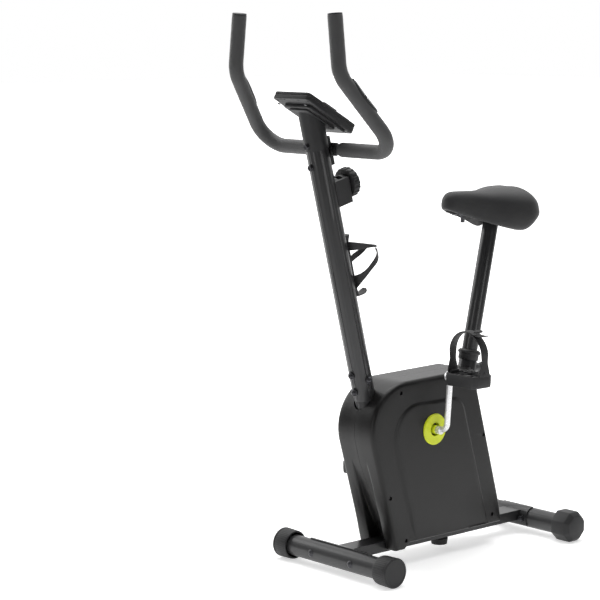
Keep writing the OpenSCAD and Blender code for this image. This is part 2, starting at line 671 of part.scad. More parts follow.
// ---------- post, handlebar, console ----------
module handle_post() color(steel_black) difference() {
  translate([0, post_y(post_lo), post_lo]) rotate([post_tilt, 0, 0])
    cylinder(d = post_d, h = (post_hi + 40 - post_lo) / cos(post_tilt));
  // cut parallel to the console
  on_con() translate([-60, -100, -20]) cube([120, 400, 200]);
  translate([0, post_y(post_lo), post_lo]) rotate([post_tilt, 0, 0])
    translate([0, 0, -1]) cylinder(d = stub_d + 0.2, h = 800);
  for (z = [462, 422]) on_post(z) rotate([90, 0, 0]) cylinder(r = 4.1, h = 40);
  on_post(446) mir() rotate([0, 90, 0]) cylinder(r = 4.1, h = 40);
  on_clamp() for (s = [-24.5, 24.5]) translate([0, 0, s]) rotate([90, 0, 0]) translate([0, 0, -40]) cylinder(r = 3.1, h = 80);
  on_post(885) rotate([-90, 0, 0]) cylinder(r = 6, h = 40);
  for (z = [742, 690]) on_post(z) rotate([-90, 0, 0]) cylinder(r = 2.5, h = 40);
}
module post_bolt() {
  // washer, hex head and shank, head outward along +Z, seat at z = 0
  difference() {
    translate([0, 0, 0.1]) cylinder(r = 9, h = 2.9);
    translate([0, 0, -5]) cylinder(r = 4, h = 12);
  }
  translate([0, 0, 3 + e]) dome_bolt(7.5, 6, 4, 14);
}
module post_bolts() color(silver) {
  for (z = [462, 422]) on_post(z) rotate([90, 0, 0]) translate([0, 0, post_d / 2]) post_bolt();
  on_post(446) mir() rotate([0, 90, 0]) translate([0, 0, post_d / 2]) post_bolt();
}
// bar centre in the frame of the post at the handlebar height
clamp_yo = (h2[1] - post_y(bar_z)) * cos(post_tilt);
clamp_zo = -(h2[1] - post_y(bar_z)) * sin(post_tilt);
module on_clamp() { on_post(bar_z) translate([0, 0, clamp_zo]) children(); }
module bar_clamp() color(steel_black) on_clamp() difference() {
  union() {
    translate([-14, post_d / 2 - 3, -33]) cube([28, 9, 66]);
    translate([0, clamp_yo, 0]) xcyl(0, bar_d / 2 + 4, 40);
  }
  cylinder(r = post_d / 2, h = 200, center = true);
  translate([0, clamp_yo, 0]) xcyl(0, bar_d / 2 + 0.05, 60);
  for (s = [-24.5, 24.5]) translate([0, 0, s]) rotate([-90, 0, 0]) cylinder(r = 3.1, h = 60);
}
module bar_bolts() color(silver) on_clamp() for (s = [-24.5, 24.5]) translate([0, 0, s]) rotate([-90, 0, 0]) {
  translate([0, 0, post_d / 2 + 6 + e]) dome_bolt(6.5, 5, 3, 64);
  translate([0, 0, -post_d / 2 - 7]) difference() {
    union() { cylinder(r = 6.5, h = 5, $fn = 6); translate([0, 0, 5]) cylinder(r = 7, h = 1.2); }
    translate([0, 0, -1]) cylinder(r = 3, h = 20);
  }
}
// handlebar centre line as lengths, bends and one roll between the bends
function rd(x) = round(x * 100) / 100;
hr1 = 55;
hr2 = 70;
hd1 = [1, 0, 0];
hd2 = unit(h1 - h2);
hd3 = unit(h0 - h1);
ht1 = rd(acos(hd1 * hd2));
ht2 = rd(acos(hd2 * hd3));
hl1 = rd(h2[0] - hr1 * tan(ht1 / 2));
hl2 = rd(norm(h1 - h2) - hr1 * tan(ht1 / 2) - hr2 * tan(ht2 / 2));
hl3 = rd(norm(h0 - h1) - hr2 * tan(ht2 / 2));
hn1 = unit(hd2 - (hd2 * hd1) * hd1);
hx2 = hn1 * cos(ht1) - hd1 * sin(ht1);
hy2 = cross(hd2, hx2);
hn2 = unit(hd3 - (hd3 * hd2) * hd2);
hroll = rd(atan2(hn2 * hy2, hn2 * hx2));
hal = rd(atan2(hn1[1], -hn1[2]));
module bar_frame() { translate([0, h2[1], bar_z]) rotate([hal, 0, 0]) rotate([0, 90, 0]) children(); }
module bar_side() { bar_frame() translate([0, 0, hl1]) turned(hr1, ht1) children(); }
module bar_top() { bar_side() translate([0, 0, hl2]) rotate([0, 0, hroll]) children(); }
module bar_tube(x0, ro, ri) {
  bar_frame() {
    translate([0, 0, x0]) linear_extrude(hl1 - x0 + lap) ring2(ro, ri);
    translate([0, 0, hl1]) {
      bend(hr1, ht1, ro - thin, ri + thin);
      turned(hr1, ht1) {
        translate([0, 0, -lap]) linear_extrude(hl2 + 2 * lap) ring2(ro, ri);
        translate([0, 0, hl2]) rotate([0, 0, hroll]) {
          bend(hr2, ht2, ro - thin, ri + thin);
          turned(hr2, ht2) translate([0, 0, -lap]) linear_extrude(hl3 + lap) ring2(ro, ri);
        }
      }
    }
  }
}
module handlebar() color(steel_black) mir() bar_tube(0, bar_d / 2, bar_d / 2 - 2);
module grip() {
  bar_tube(bare_half + 8, foam_d / 2, bar_d / 2);
  bar_frame() difference() {
    translate([0, 0, bare_half + 2]) cylinder(r1 = foam_d / 2 - 3, r2 = foam_d / 2, h = 6);
    cylinder(r = bar_d / 2, h = 100);
  }
}
module grip_left() color(foam_black) grip();
module grip_right() color(foam_black) mirror([1, 0, 0]) grip();
module grip_plugs() color(plastic_black) mir() bar_top() turned(hr2, ht2) translate([0, 0, hl3]) {
  translate([0, 0, -16]) cylinder(r = bar_d / 2 - 2, h = 18);
  cylinder(r = foam_d / 2 - 0.5, h = 2.5);
}
// pulse sensors wrap the outer, rider-facing side of the grips
sens = [0.35, 1, 0.5];
sens_a = rd(atan2(sens * hy2, sens * hx2));
sens_z = hl2 + rd(hr2 * tan(ht2 / 2)) - 119;
module shell_part(r1, r2, z0, z1, a) {
  translate([0, 0, z0]) rotate([0, 0, sens_a - a / 2]) rotate_extrude(angle = a)
    translate([r1, 0]) square([r2 - r1, z1 - z0]);
}
module sensor_bases() color(plastic_black) mir() bar_side()
  shell_part(foam_d / 2 + 0.05, foam_d / 2 + 3, sens_z, sens_z + 96, 130);
module sensor_plates() color(silver) mir() bar_side() for (q = [[3, 44], [52, 93]])
  shell_part(foam_d / 2 + 3.05, foam_d / 2 + 4, sens_z + q[0], sens_z + q[1], 112);
// console frame: origin at the middle of the top edge, +Y down the slope, Z out of the face
con_y = -380.6;
con_z = 1111;
module on_con() { translate([0, con_y, con_z]) rotate([-con_tilt, 0, 0]) children(); }
module con_slab(w, l, r, z0, z1) { translate([0, l / 2, z0]) linear_extrude(z1 - z0) rrect(w, l, r); }
module console_back() color(plastic_black) difference() {
  on_con() difference() {
    union() {
      con_slab(con_w, con_l, 9, -15, -7);
      translate([0, 5, 0]) con_slab(con_w - 12, con_l - 10, 9, -24, -15);
      translate([0, 20, 0]) con_slab(66, 108, 6, -30, -24);
    }
    translate([0, 2.5, 0]) con_slab(con_w - 5, con_l - 5, 7, -13, 0);
    translate([0, 8, 0]) con_slab(con_w - 18, con_l - 16, 7, -22, -12);
  }
  // the post enters from below
  on_post(1040) translate([0, 0, -60]) cylinder(r = post_d / 2 + 1.2, h = 140);
}
module console_front() color(grey) on_con() difference() {
  union() {
    con_slab(con_w, con_l, 9, -7 + e, 0);
    translate([0, 61, 0]) con_slab(100, 84, 5, 0, 3.5);
    translate([0, 61, 0]) con_slab(90, 44, 5, 3.5, 7.5);
  }
  translate([0, 2.5, 0]) con_slab(con_w - 5, con_l - 5, 7, -8, -2.5);
  translate([0, 86, 0]) translate([-25, -7, -5]) cube([50, 20, 20]);
  translate([0, 120, 0]) translate([-13.2, -6.2, -5]) cube([26.4, 12.4, 20]);
}
module console_lens() color(silver) on_con() translate([-24.9, 79.1, 5]) cube([49.8, 19.8, 1.6]);
module console_display() color(silver) on_con() {
  translate([-24.5, 79.5, -3]) cube([49, 19, 8]);
  translate([-28, 76, -4.5]) cube([56, 26, 2 - e]);
}
module console_button() color(plastic_black) on_con() {
  translate([-12.8, 114.2, -3.2]) cube([25.6, 11.6, 8.6]);
  translate([-15, 112, -4.2]) cube([30, 16, 1.2]);
}
module console_screws() color(silver) on_con()
  for (s = [-1, 1], y = [14, 147]) translate([s * 44, y, -24 - 1.6]) cylinder(r = 3.2, h = 1.6);
module console_bracket() color(steel_black) {
  on_con() translate([-34, 40, -19.5]) cube([68, 84, 3]);
  difference() {
    on_post(1040) translate([0, 0, -34]) difference() {
      cylinder(r = stub_d / 2 + 0.08, h = 120);
      translate([0, 0, -1]) cylinder(r = stub_d / 2 - 3, h = 200);
    }
    on_con() translate([-60, -60, -18]) cube([120, 300, 200]);
  }
}
module knob_housing() color(plastic_black) on_post(885) difference() {
  union() {
    translate([-24, post_d / 2 - 14, -40]) cube([48, 44, 59]);
    rotate([-90, 0, 0]) cylinder(r = 22, h = 61);
  }
  cylinder(r = post_d / 2, h = 200, center = true);
  translate([-21, post_d / 2 + 3, -37]) cube([42, 24, 53]);
  translate([-15, post_d / 2 + 8, 10]) cube([30, 14, 20]);
  rotate([-90, 0, 0]) cylinder(r = 4.06, h = 80);
}
module tension_knob() color(plastic_black) on_post(885) rotate([-90, 0, 0]) difference() {
  union() {
    translate([0, 0, 40]) cylinder(r = 4, h = 23);
    translate([0, 0, 61.5]) cylinder(r = 33, h = 4);
    translate([0, 0, 65.5]) cylinder(r = 34, h = 13);
    translate([0, 0, 78.5]) cylinder(r1 = 34, r2 = 29, h = 4);
    for (a = [0:20:340]) rotate(a) translate([30, -3.5, 63.5]) cube([5, 7, 14]);
  }
  translate([0, 0, 80]) cylinder(r = 25, h = 10);
}
module knob_dial() color(grey) on_post(885) rotate([-90, 0, 0]) translate([0, 0, 80]) cylinder(r = 25, h = 1.6);

// ---------- bottle cage ----------
cage_z = 759;
module bottle_cage() color(plastic_black) on_post(cage_z) {
  yc = post_d / 2 + 42;
  // spine against the post
  difference() {
    translate([-8, post_d / 2 - 2, -124]) cube([16, 7.5, 148]);
    cylinder(r = post_d / 2, h = 400, center = true);
    for (z = [742, 690]) translate([0, 0, (z - cage_z) / cos(post_tilt)]) rotate([-90, 0, 0]) cylinder(r = 2.6, h = 60);
  }
  // upper hoop
  translate([0, yc, -6]) difference() {
    cylinder(r = 41, h = 10);
    translate([0, 0, -1]) cylinder(r = 38, h = 20);
  }
  // two arms that sweep down from the front of the hoop to the foot of the spine
  intersection() {
    difference() {
      translate([0, yc, -110]) cylinder(r = 40.9, h = 106);
      translate([0, yc, -111]) cylinder(r = 38.1, h = 108);
    }
    difference() {
      translate([0, yc - 48, -8]) xcyl(0, 92, 120);
      translate([0, yc - 38, -1]) xcyl(0, 75, 130);
    }
  }
  // bottom shelf with an upturned lip
  translate([0, post_d / 2 + 3, -118]) intersection() {
    difference() {
      cylinder(r = 24, h = 9);
      translate([0, 0, 2.5]) cylinder(r = 21.5, h = 9);
    }
    translate([-12, 0, -1]) cube([24, 40, 20]);
  }
}
module cage_screws() color(silver)
  for (z = [742, 690]) on_post(z) rotate([-90, 0, 0]) translate([0, 0, post_d / 2 + 5.5 + e]) dome_bolt(5, 3, 2.5, 12);

// ---------- assembly ----------
main_frame();
front_stabilizer();
rear_stabilizer();
stabilizer_bolts();
roller_left();
roller_right();
roller_plugs();
rear_cap_left();
rear_cap_right();
centre_bumper();
cover_left();
cover_right();
cover_screws();
hub_rings();
crank_axle();
axle_bearings();
drive_pulley();
crank_left();
crank_right();
crank_caps();
pedal_left();
pedal_right();
strap_left();
strap_right();
belt();
flywheel();
flywheel_bearings();
magnet_bracket();
magnets();
seat_bushing();
seat_post();
lock_pin();
lock_bushing();
saddle_clamp();
clamp_plates();
saddle_rails();
saddle_base();
saddle_pad();
handle_post();
post_bolts();
bar_clamp();
bar_bolts();
handlebar();
grip_left();
grip_right();
grip_plugs();
sensor_bases();
sensor_plates();
console_back();
console_front();
console_lens();
console_display();
console_button();
console_screws();
console_bracket();
knob_housing();
tension_knob();
knob_dial();
bottle_cage();
cage_screws();
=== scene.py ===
"""Looks of the exercise bike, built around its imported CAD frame.

Lengths are millimetres in the part's own axes: floor at z = 0, +X to the rider's left, the rider
faces -Y. A mesh is scaled to metres when it is made.
"""

import json
import math

import bmesh
import bpy
import numpy as np
from mathutils import Matrix, Vector

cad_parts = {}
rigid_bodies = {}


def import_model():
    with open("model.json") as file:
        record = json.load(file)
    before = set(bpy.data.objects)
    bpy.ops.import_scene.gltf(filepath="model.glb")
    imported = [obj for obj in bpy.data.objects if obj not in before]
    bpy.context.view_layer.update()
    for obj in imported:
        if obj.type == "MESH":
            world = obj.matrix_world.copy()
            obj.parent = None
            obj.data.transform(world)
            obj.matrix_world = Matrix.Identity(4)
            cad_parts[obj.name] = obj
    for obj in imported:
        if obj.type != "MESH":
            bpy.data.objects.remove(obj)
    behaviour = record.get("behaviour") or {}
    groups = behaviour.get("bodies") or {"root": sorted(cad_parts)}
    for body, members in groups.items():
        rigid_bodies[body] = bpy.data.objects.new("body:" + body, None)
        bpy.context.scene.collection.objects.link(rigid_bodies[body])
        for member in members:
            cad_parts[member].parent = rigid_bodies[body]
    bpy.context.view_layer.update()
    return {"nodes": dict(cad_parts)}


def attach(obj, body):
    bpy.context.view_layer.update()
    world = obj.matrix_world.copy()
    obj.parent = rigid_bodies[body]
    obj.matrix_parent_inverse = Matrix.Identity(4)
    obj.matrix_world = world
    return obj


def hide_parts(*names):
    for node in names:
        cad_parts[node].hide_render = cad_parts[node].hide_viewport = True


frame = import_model()
NODES = frame["nodes"]
MM = 0.001

# ---------- sizes shared with the CAD source ----------
FRONT_Y = -239.4
WHEELBASE = 618.8
TUBE_Z = 35.0
CAP_R = 35.0
POST_D = 52.0
POST_TILT = 14.43
SEAT_TILT = 12.72
CONSOLE_TILT = -28.6
HUB_Y, HUB_Z = 8.5, 313.0
FOAM_R = 16.5
BARE_HALF = 32.0
BAR_PATH = [(0, -267.2, 979.9), (219.5, -267.2, 979.9), (172.1, -397.9, 1150.7),
            (157.5, -397.9, 1278.4)]
BAR_BENDS = [55, 70]
PEDAL_X, PEDAL_W, PEDAL_L, PEDAL_H = 163.0, 98.0, 66.0, 29.0
PEDAL_DY, PEDAL_DZ = 10.88, 129.54
CONSOLE_W, CONSOLE_L = 116, 161


def smooth(a, b, x):
    """0 below a, 1 above b, with a soft start and end."""
    t = min(1.0, max(0.0, (x - a) / (b - a)))
    return t * t * (3 - 2 * t)


def move(x, y, z):
    return Matrix.Translation((x, y, z))


def turn(degrees, axis):
    return Matrix.Rotation(math.radians(degrees), 4, axis)


def on_post(z):
    """Frame of the front post at a height: +Z up the post, +Y to the rider."""
    return move(0, -310.9 + (1000 - z) * math.tan(math.radians(POST_TILT)), z) @ turn(POST_TILT, "X")


def on_seat(z):
    return move(0, 267.6 - (800 - z) * math.tan(math.radians(SEAT_TILT)), z) @ turn(-SEAT_TILT, "X")


def on_console():
    """Frame of the console face: origin at the middle of its top edge, +Y down the slope, Z out."""
    return move(0, -380.6, 1111) @ turn(CONSOLE_TILT, "X")


# ---------- shader helpers ----------
def add_node(tree, kind, output, inputs, **settings):
    """Adds a node and feeds its inputs with sockets or plain values. Returns one of its outputs."""
    node = tree.nodes.new(kind)
    for key, value in settings.items():
        setattr(node, key, value)
    for key, value in inputs.items():
        if isinstance(value, bpy.types.NodeSocket):
            tree.links.new(value, node.inputs[key])
        else:
            node.inputs[key].default_value = value
    return node.outputs[output]


def map_range(tree, value, low, high, start, end, interpolation="LINEAR"):
    inputs = {"Value": value, "From Min": low, "From Max": high, "To Min": start, "To Max": end}
    return add_node(tree, "ShaderNodeMapRange", "Result", inputs, interpolation_type=interpolation)


def dot_product(tree, vector, direction):
    return add_node(tree, "ShaderNodeVectorMath", "Value", {0: vector, 1: direction},
                    operation="DOT_PRODUCT")


def maths(tree, operation, *values):
    return add_node(tree, "ShaderNodeMath", "Value", dict(enumerate(values)), operation=operation)


def noise(tree, vector, scale, detail):
    return add_node(tree, "ShaderNodeTexNoise", "Fac",
                    {"Vector": vector, "Scale": scale, "Detail": detail})


def mix_colours(tree, factor, a, b):
    return add_node(tree, "ShaderNodeMix", "Result", {"Factor": factor, "A": a, "B": b},
                    data_type="RGBA")


def bump(tree, height, strength, distance, **normal):
    inputs = {"Height": height, "Strength": strength, "Distance": distance, **normal}
    return add_node(tree, "ShaderNodeBump", "Normal", inputs)


# ---------- camera, stage and light ----------
FLOOR_GLOW = 0.55
WHITE = (1, 1, 1, 1)


def make_camera():
    data = bpy.data.cameras.new("camera")
    data.lens = 122.47
    data.sensor_width = 36
    camera = bpy.data.objects.new("camera", data)
    camera.location = (3.3727, -3.3645, 1.2716)
    camera.rotation_mode = "QUATERNION"
    camera.rotation_quaternion = Vector((-0.739, 0.659, -0.137)).to_track_quat("-Z", "Y")
    bpy.context.scene.collection.objects.link(camera)
    bpy.context.scene.camera = camera


def area_light(name, place, target, size, power):
    data = bpy.data.lights.new(name, "AREA")
    data.shape = "RECTANGLE"
    data.size, data.size_y = size
    data.energy = power
    lamp = bpy.data.objects.new(name, data)
    lamp.location = place
    lamp.rotation_mode = "QUATERNION"
    lamp.rotation_quaternion = (Vector(target) - Vector(place)).to_track_quat("-Z", "Y")
    bpy.context.scene.collection.objects.link(lamp)


def make_world():
    """White sweep behind the object, dim room behind the camera, plain white where it is seen."""
    world = bpy.data.worlds.new("studio")
    bpy.context.scene.world = world
    world.use_nodes = True
    tree = world.node_tree
    tree.nodes.clear()
    around = tree.nodes.new("ShaderNodeTexCoord").outputs["Generated"]
    towards_sweep = dot_product(tree, around, (-0.72, 0.64, 0.25))
    strength = map_range(tree, towards_sweep, 0.0, 0.9, 0.05, 1.1, "SMOOTHSTEP")
    room = add_node(tree, "ShaderNodeBackground", 0, {"Color": WHITE, "Strength": strength})
    seen = add_node(tree, "ShaderNodeBackground", 0, {"Color": WHITE})
    camera_ray = tree.nodes.new("ShaderNodeLightPath").outputs["Is Camera Ray"]
    mix = add_node(tree, "ShaderNodeMixShader", 0, {"Fac": camera_ray, 1: room, 2: seen})
    tree.links.new(mix, tree.nodes.new("ShaderNodeOutputWorld").inputs[0])


def paper_material():
    """White paper that glows a little, and more towards the back, to meet the white backdrop."""
    paper = bpy.data.materials.new("paper")
    paper.use_nodes = True
    tree = paper.node_tree
    shader = tree.nodes["Principled BSDF"].inputs
    shader["Base Color"].default_value = (0.95, 0.95, 0.95, 1)
    shader["Roughness"].default_value = 0.9
    shader["Specular IOR Level"].default_value = 0.05
    shader["Emission Color"].default_value = WHITE
    place = tree.nodes.new("ShaderNodeNewGeometry").outputs["Position"]
    back = dot_product(tree, place, (-0.74, 0.67, 0))
    near = map_range(tree, back, -1.5, -0.5, 0.0, FLOOR_GLOW, "SMOOTHSTEP")
    far = map_range(tree, back, 0.9, 2.4, 0.0, 1.0 - 0.5 * FLOOR_GLOW, "SMOOTHSTEP")
    sideways = maths(tree, "ABSOLUTE", dot_product(tree, place, (0.67, 0.74, 0)))
    fade = map_range(tree, sideways, 0.9, 1.7, 1.0, 0.0, "SMOOTHSTEP")
    tree.links.new(maths(tree, "MULTIPLY_ADD", near, fade, far), shader["Emission Strength"])
    return paper


def make_stage():
    mesh = bpy.data.meshes.new("floor")
    mesh.from_pydata([(-30, -30, 0), (30, -30, 0), (30, 30, 0), (-30, 30, 0)], [], [(0, 1, 2, 3)])
    floor = bpy.data.objects.new("floor", mesh)
    floor.location.z = -0.0005
    bpy.context.scene.collection.objects.link(floor)
    mesh.materials.append(paper_material())
    area_light("overhead", (-0.4, 0.3, 3.4), (0, 0, 0.5), (3.4, 3.4), 95)
    area_light("key", (0.5, -3.7, 1.1), (0, 0, 0.9), (0.7, 1.7), 14)
    area_light("side", (3.8, 0.0, 1.1), (0, 0, 0.9), (0.7, 1.7), 14)
    area_light("far_side", (-3.2, -1.0, 1.8), (0, 0, 0.6), (1.6, 2.4), 30)
    bpy.context.scene.view_settings.view_transform = "Standard"


# ---------- materials ----------
M = {}


def node_material(name, colour, rough, metallic=0.0, grain=(900, 0.15), cells=None, mottle=0.12,
                  wear=0.25, brushed=None, sheen=0.0, coat=0.0, painted_glow=None):
    """Moulded, painted or soft surface: mottled colour, uneven gloss, fine grain and lighter edges.

    grain is (noise scale, bump strength), cells the same for a pitted or pebbled skin, and brushed
    the stretch of the grain along X, Y and Z.
    """
    mat = bpy.data.materials.new(name)
    mat.use_nodes = True
    tree = mat.node_tree
    shader = tree.nodes["Principled BSDF"].inputs
    place = tree.nodes.new("ShaderNodeTexCoord").outputs["Object"]

    broad = noise(tree, place, 9.0, 5.0)
    dark = [c * (1 - mottle) for c in colour]
    light = [min(1.0, c * (1 + mottle) + 0.002) for c in colour]
    tint = mix_colours(tree, broad, (*dark, 1), (*light, 1))
    pointed = tree.nodes.new("ShaderNodeNewGeometry").outputs["Pointiness"]
    edges = map_range(tree, pointed, 0.52, 0.62, 0.0, wear)
    pale = [min(1.0, c * 1.6 + 0.05) for c in colour]
    tree.links.new(mix_colours(tree, edges, tint, (*pale, 1)), shader["Base Color"])

    stretched = add_node(tree, "ShaderNodeMapping", "Vector",
                         {"Vector": place, "Scale": brushed or (1, 1, 1)})
    fine = noise(tree, stretched, grain[0], 3.0)
    uneven = maths(tree, "MULTIPLY_ADD", fine, 0.4, maths(tree, "MULTIPLY", broad, 0.6))
    gloss = map_range(tree, uneven, 0.0, 1.0, max(0.03, rough - 0.07), min(1.0, rough + 0.07))
    tree.links.new(gloss, shader["Roughness"])

    normal = bump(tree, fine, grain[1], 0.0004)
    if cells:
        pits = add_node(tree, "ShaderNodeTexVoronoi", "Distance", {"Vector": place, "Scale": cells[0]})
        normal = bump(tree, pits, cells[1], 0.0005, Normal=normal)
    tree.links.new(normal, shader["Normal"])

    shader["Metallic"].default_value = metallic
    if max(colour) < 0.06:
        shader["Specular IOR Level"].default_value = 0.34
    shader["Sheen Weight"].default_value = sheen
    shader["Coat Weight"].default_value = coat
    # a glow in the surface's own colour: painted light, since the part is no lamp
    if painted_glow:
        shader["Emission Color"].default_value = (*colour, 1)
        shader["Emission Strength"].default_value = painted_glow
    M[name] = mat
    return mat


node_material("frame_paint", (0.020, 0.020, 0.021), 0.36, grain=(1100, 0.20), coat=0.2)
node_material("cover_plastic", (0.0075, 0.0072, 0.0072), 0.34, grain=(1900, 0.20),
              cells=(1500, 0.10))
node_material("cap_plastic", (0.020, 0.020, 0.021), 0.5, grain=(1400, 0.22))
node_material("rubber_black", (0.018, 0.018, 0.018), 0.68, grain=(1000, 0.35))
node_material("black_steel", (0.05, 0.05, 0.055), 0.34, metallic=0.6, grain=(900, 0.15),
              wear=0.6)
node_material("crank_silver", (0.83, 0.83, 0.84), 0.27, metallic=0.45,
              grain=(600, 0.08), mottle=0.04)
node_material("lime", (0.68, 0.77, 0.02), 0.42, grain=(1300, 0.15), mottle=0.06, wear=0.15)
node_material("steel", (0.56, 0.56, 0.57), 0.28, metallic=1, grain=(700, 0.15))
node_material("flywheel_iron", (0.20, 0.20, 0.21), 0.45, metallic=0.9, grain=(500, 0.3))
node_material("pulley_plastic", (0.04, 0.04, 0.045), 0.5, grain=(900, 0.2))
node_material("belt_rubber", (0.022, 0.022, 0.022), 0.7, grain=(700, 0.4))
node_material("pedal_plastic", (0.026, 0.026, 0.027), 0.52, grain=(1500, 0.28))
node_material("strap_rubber", (0.028, 0.028, 0.029), 0.56, grain=(1200, 0.25))
node_material("magnet", (0.12, 0.12, 0.13), 0.5, metallic=0.5, grain=(500, 0.2))
node_material("saddle_vinyl", (0.023, 0.023, 0.024), 0.54, grain=(1500, 0.14),
              cells=(1150, 0.16), sheen=0.12, wear=0.0)
node_material("foam", (0.060, 0.060, 0.061), 0.60, grain=(2200, 0.40), cells=(1900, 0.30),
              sheen=0.10, wear=0.0)
node_material("sensor_steel", (0.62, 0.62, 0.63), 0.26, metallic=1,
              grain=(40, 0.10), brushed=(60, 8, 8), wear=0.1)
node_material("console_black", (0.020, 0.020, 0.021), 0.45, grain=(1800, 0.20))
node_material("console_grey", (0.030, 0.030, 0.031), 0.42, grain=(1700, 0.18))
# The LCD glows faintly: painted light that brightens the display.
node_material("lcd", (0.50, 0.53, 0.50), 0.35, grain=(300, 0.02), mottle=0.05, wear=0, painted_glow=0.25)
# Near-black print for the LCD digits; the same colour is painted shade in the console's screw holes.
node_material("ink", (0.015, 0.016, 0.018), 0.4, grain=(300, 0.02), wear=0)
node_material("button_grey", (0.035, 0.035, 0.037), 0.5, grain=(1500, 0.2))
node_material("dial_black", (0.017, 0.017, 0.018), 0.46, grain=(1600, 0.2))
node_material("print_white", (0.78, 0.78, 0.78), 0.5, grain=(1600, 0.1), wear=0)
lens = node_material("lens", (0.9, 0.92, 0.92), 0.06, grain=(200, 0.01), mottle=0.02, wear=0)
lens.node_tree.nodes["Principled BSDF"].inputs["Transmission Weight"].default_value = 0.92


# ---------- mesh helpers ----------
def add_piece(name, verts, faces, material, body, replaces=(), slot=None, place=None, sharp=35):
    """Makes a mesh piece from millimetre points, closed up and smoothed, that rides on a CAD body."""
    place = place or Matrix.Identity(4)
    mesh = bpy.data.meshes.new(name)
    mesh.from_pydata([tuple((place @ Vector(v)) * MM) for v in verts], [], faces)
    bm = bmesh.new()
    bm.from_mesh(mesh)
    bmesh.ops.remove_doubles(bm, verts=bm.verts, dist=0.02 * MM)
    bmesh.ops.dissolve_degenerate(bm, edges=bm.edges, dist=0.005 * MM)
    bmesh.ops.recalc_face_normals(bm, faces=bm.faces)
    bm.to_mesh(mesh)
    bm.free()
    obj = bpy.data.objects.new(name, mesh)
    bpy.context.scene.collection.objects.link(obj)
    mesh.materials.append(M[material])
    shade(obj, sharp)
    if body:
        settle(obj, body, replaces)
    return obj


def shade(obj, sharp):
    obj.data.shade_smooth()
    obj.data.set_sharp_from_angle(angle=math.radians(sharp))


def settle(obj, body, replaces=()):
    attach(obj, body)
    if replaces:
        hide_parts(*replaces)


def bake(obj):
    """Applies every modifier of a piece."""
    graph = bpy.context.evaluated_depsgraph_get()
    mesh = bpy.data.meshes.new_from_object(obj.evaluated_get(graph))
    old = obj.data
    obj.modifiers.clear()
    obj.data = mesh
    bpy.data.meshes.remove(old)
    return obj


def join_parts(parts):
    """Several (verts, faces) meshes as one."""
    verts, faces = [], []
    for v, f in parts:
        start = len(verts)
        verts += [tuple(p) for p in v]
        faces += [tuple(i + start for i in face) for face in f]
    return verts, faces


def moved(part, matrix):
    return [tuple(matrix @ Vector(v)) for v in part[0]], part[1]


def mirrored(part):
    return [(-x, y, z) for x, y, z in part[0]], part[1]


def skin(rings, caps=(True, True)):
    """Quads between rings of equal length, with flat ends where asked."""
    n = len(rings[0])
    verts = [tuple(p) for ring in rings for p in ring]
    faces = []
    for i in range(len(rings) - 1):
        for j in range(n):
            k = (j + 1) % n
            faces.append((i * n + j, i * n + k, (i + 1) * n + k, (i + 1) * n + j))
    if caps[0]:
        faces.append(tuple(range(n)))
    if caps[1]:
        faces.append(tuple(range((len(rings) - 1) * n, len(rings) * n)))
    return verts, faces


def lathe(profile, n, wave=None, closed=False):
    """Turns (radius, height) points about Z. wave(angle, radius, height) may change the radius."""
    rings = []
    for r, z in profile:
        ring = []
        for k in range(n):
            a = 2 * math.pi * k / n
            q = wave(a, r, z) if wave else r
            ring.append((q * math.cos(a), q * math.sin(a), z))
        rings.append(ring)
    if closed:
        rings.append(rings[0])
        return skin(rings, caps=(False, False))
    return skin(rings)


def fillet(corners, closed=True, arc_step=12, gap=12.0):
    """Rounds (x, y[, z], radius) corners with arcs and fills the straights with points gap apart."""
    points = [Vector(c[:-1]) for c in corners]
    n = len(points)
    pieces = []
    for i, corner in enumerate(corners):
        if not closed and i in (0, n - 1):
            pieces.append([points[i]])
            continue
        before = (points[i] - points[i - 1]).normalized()
        after = (points[(i + 1) % n] - points[i]).normalized()
        angle = before.angle(after)
        r = corner[-1]
        if angle < 0.01 or r <= 0:
            pieces.append([points[i]])
            continue
        inward = (after - before * before.dot(after)).normalized()
        start = points[i] - before * (r * math.tan(angle / 2))
        centre = start + inward * r
        steps = max(2, int(math.degrees(angle) / arc_step) + 1)
        arc = []
        for k in range(steps + 1):
            t = angle * k / steps
            arc.append(centre - inward * (r * math.cos(t)) + before * (r * math.sin(t)))
        pieces.append(arc)
    out = []
    for i, arc in enumerate(pieces):
        out += arc
        if closed or i < n - 1:
            a, b = arc[-1], pieces[(i + 1) % n][0]
            steps = int((b - a).length / gap)
            out += [a.lerp(b, k / (steps + 1)) for k in range(1, steps + 1)]
    return out


def sweep(path, section, up):
    """Carries section(i) - points as (side, up) - along a path without twisting it."""
    rings = []
    side = None
    for i, p in enumerate(path):
        ahead = (path[min(i + 1, len(path) - 1)] - path[max(i - 1, 0)]).normalized()
        side = ahead.cross(Vector(up)) if side is None else side - ahead * side.dot(ahead)
        side.normalize()
        normal = side.cross(ahead)
        rings.append([p + side * a + normal * b for a, b in section(i)])
    return skin(rings)


def circle(r, n):
    angles = [2 * math.pi * k / n for k in range(n)]
    return [(r * math.cos(a), r * math.sin(a)) for a in angles]


def oblong(w, h, r, n):
    """Rectangle w by h about the origin with rounded corners of n steps each."""
    pts = []
    for cx, cy, a0 in ((w / 2 - r, h / 2 - r, 0), (r - w / 2, h / 2 - r, 90),
                       (r - w / 2, r - h / 2, 180), (w / 2 - r, r - h / 2, 270)):
        for k in range(n + 1):
            a = math.radians(a0 + 90 * k / n)
            pts.append((cx + r * math.cos(a), cy + r * math.sin(a)))
    return pts


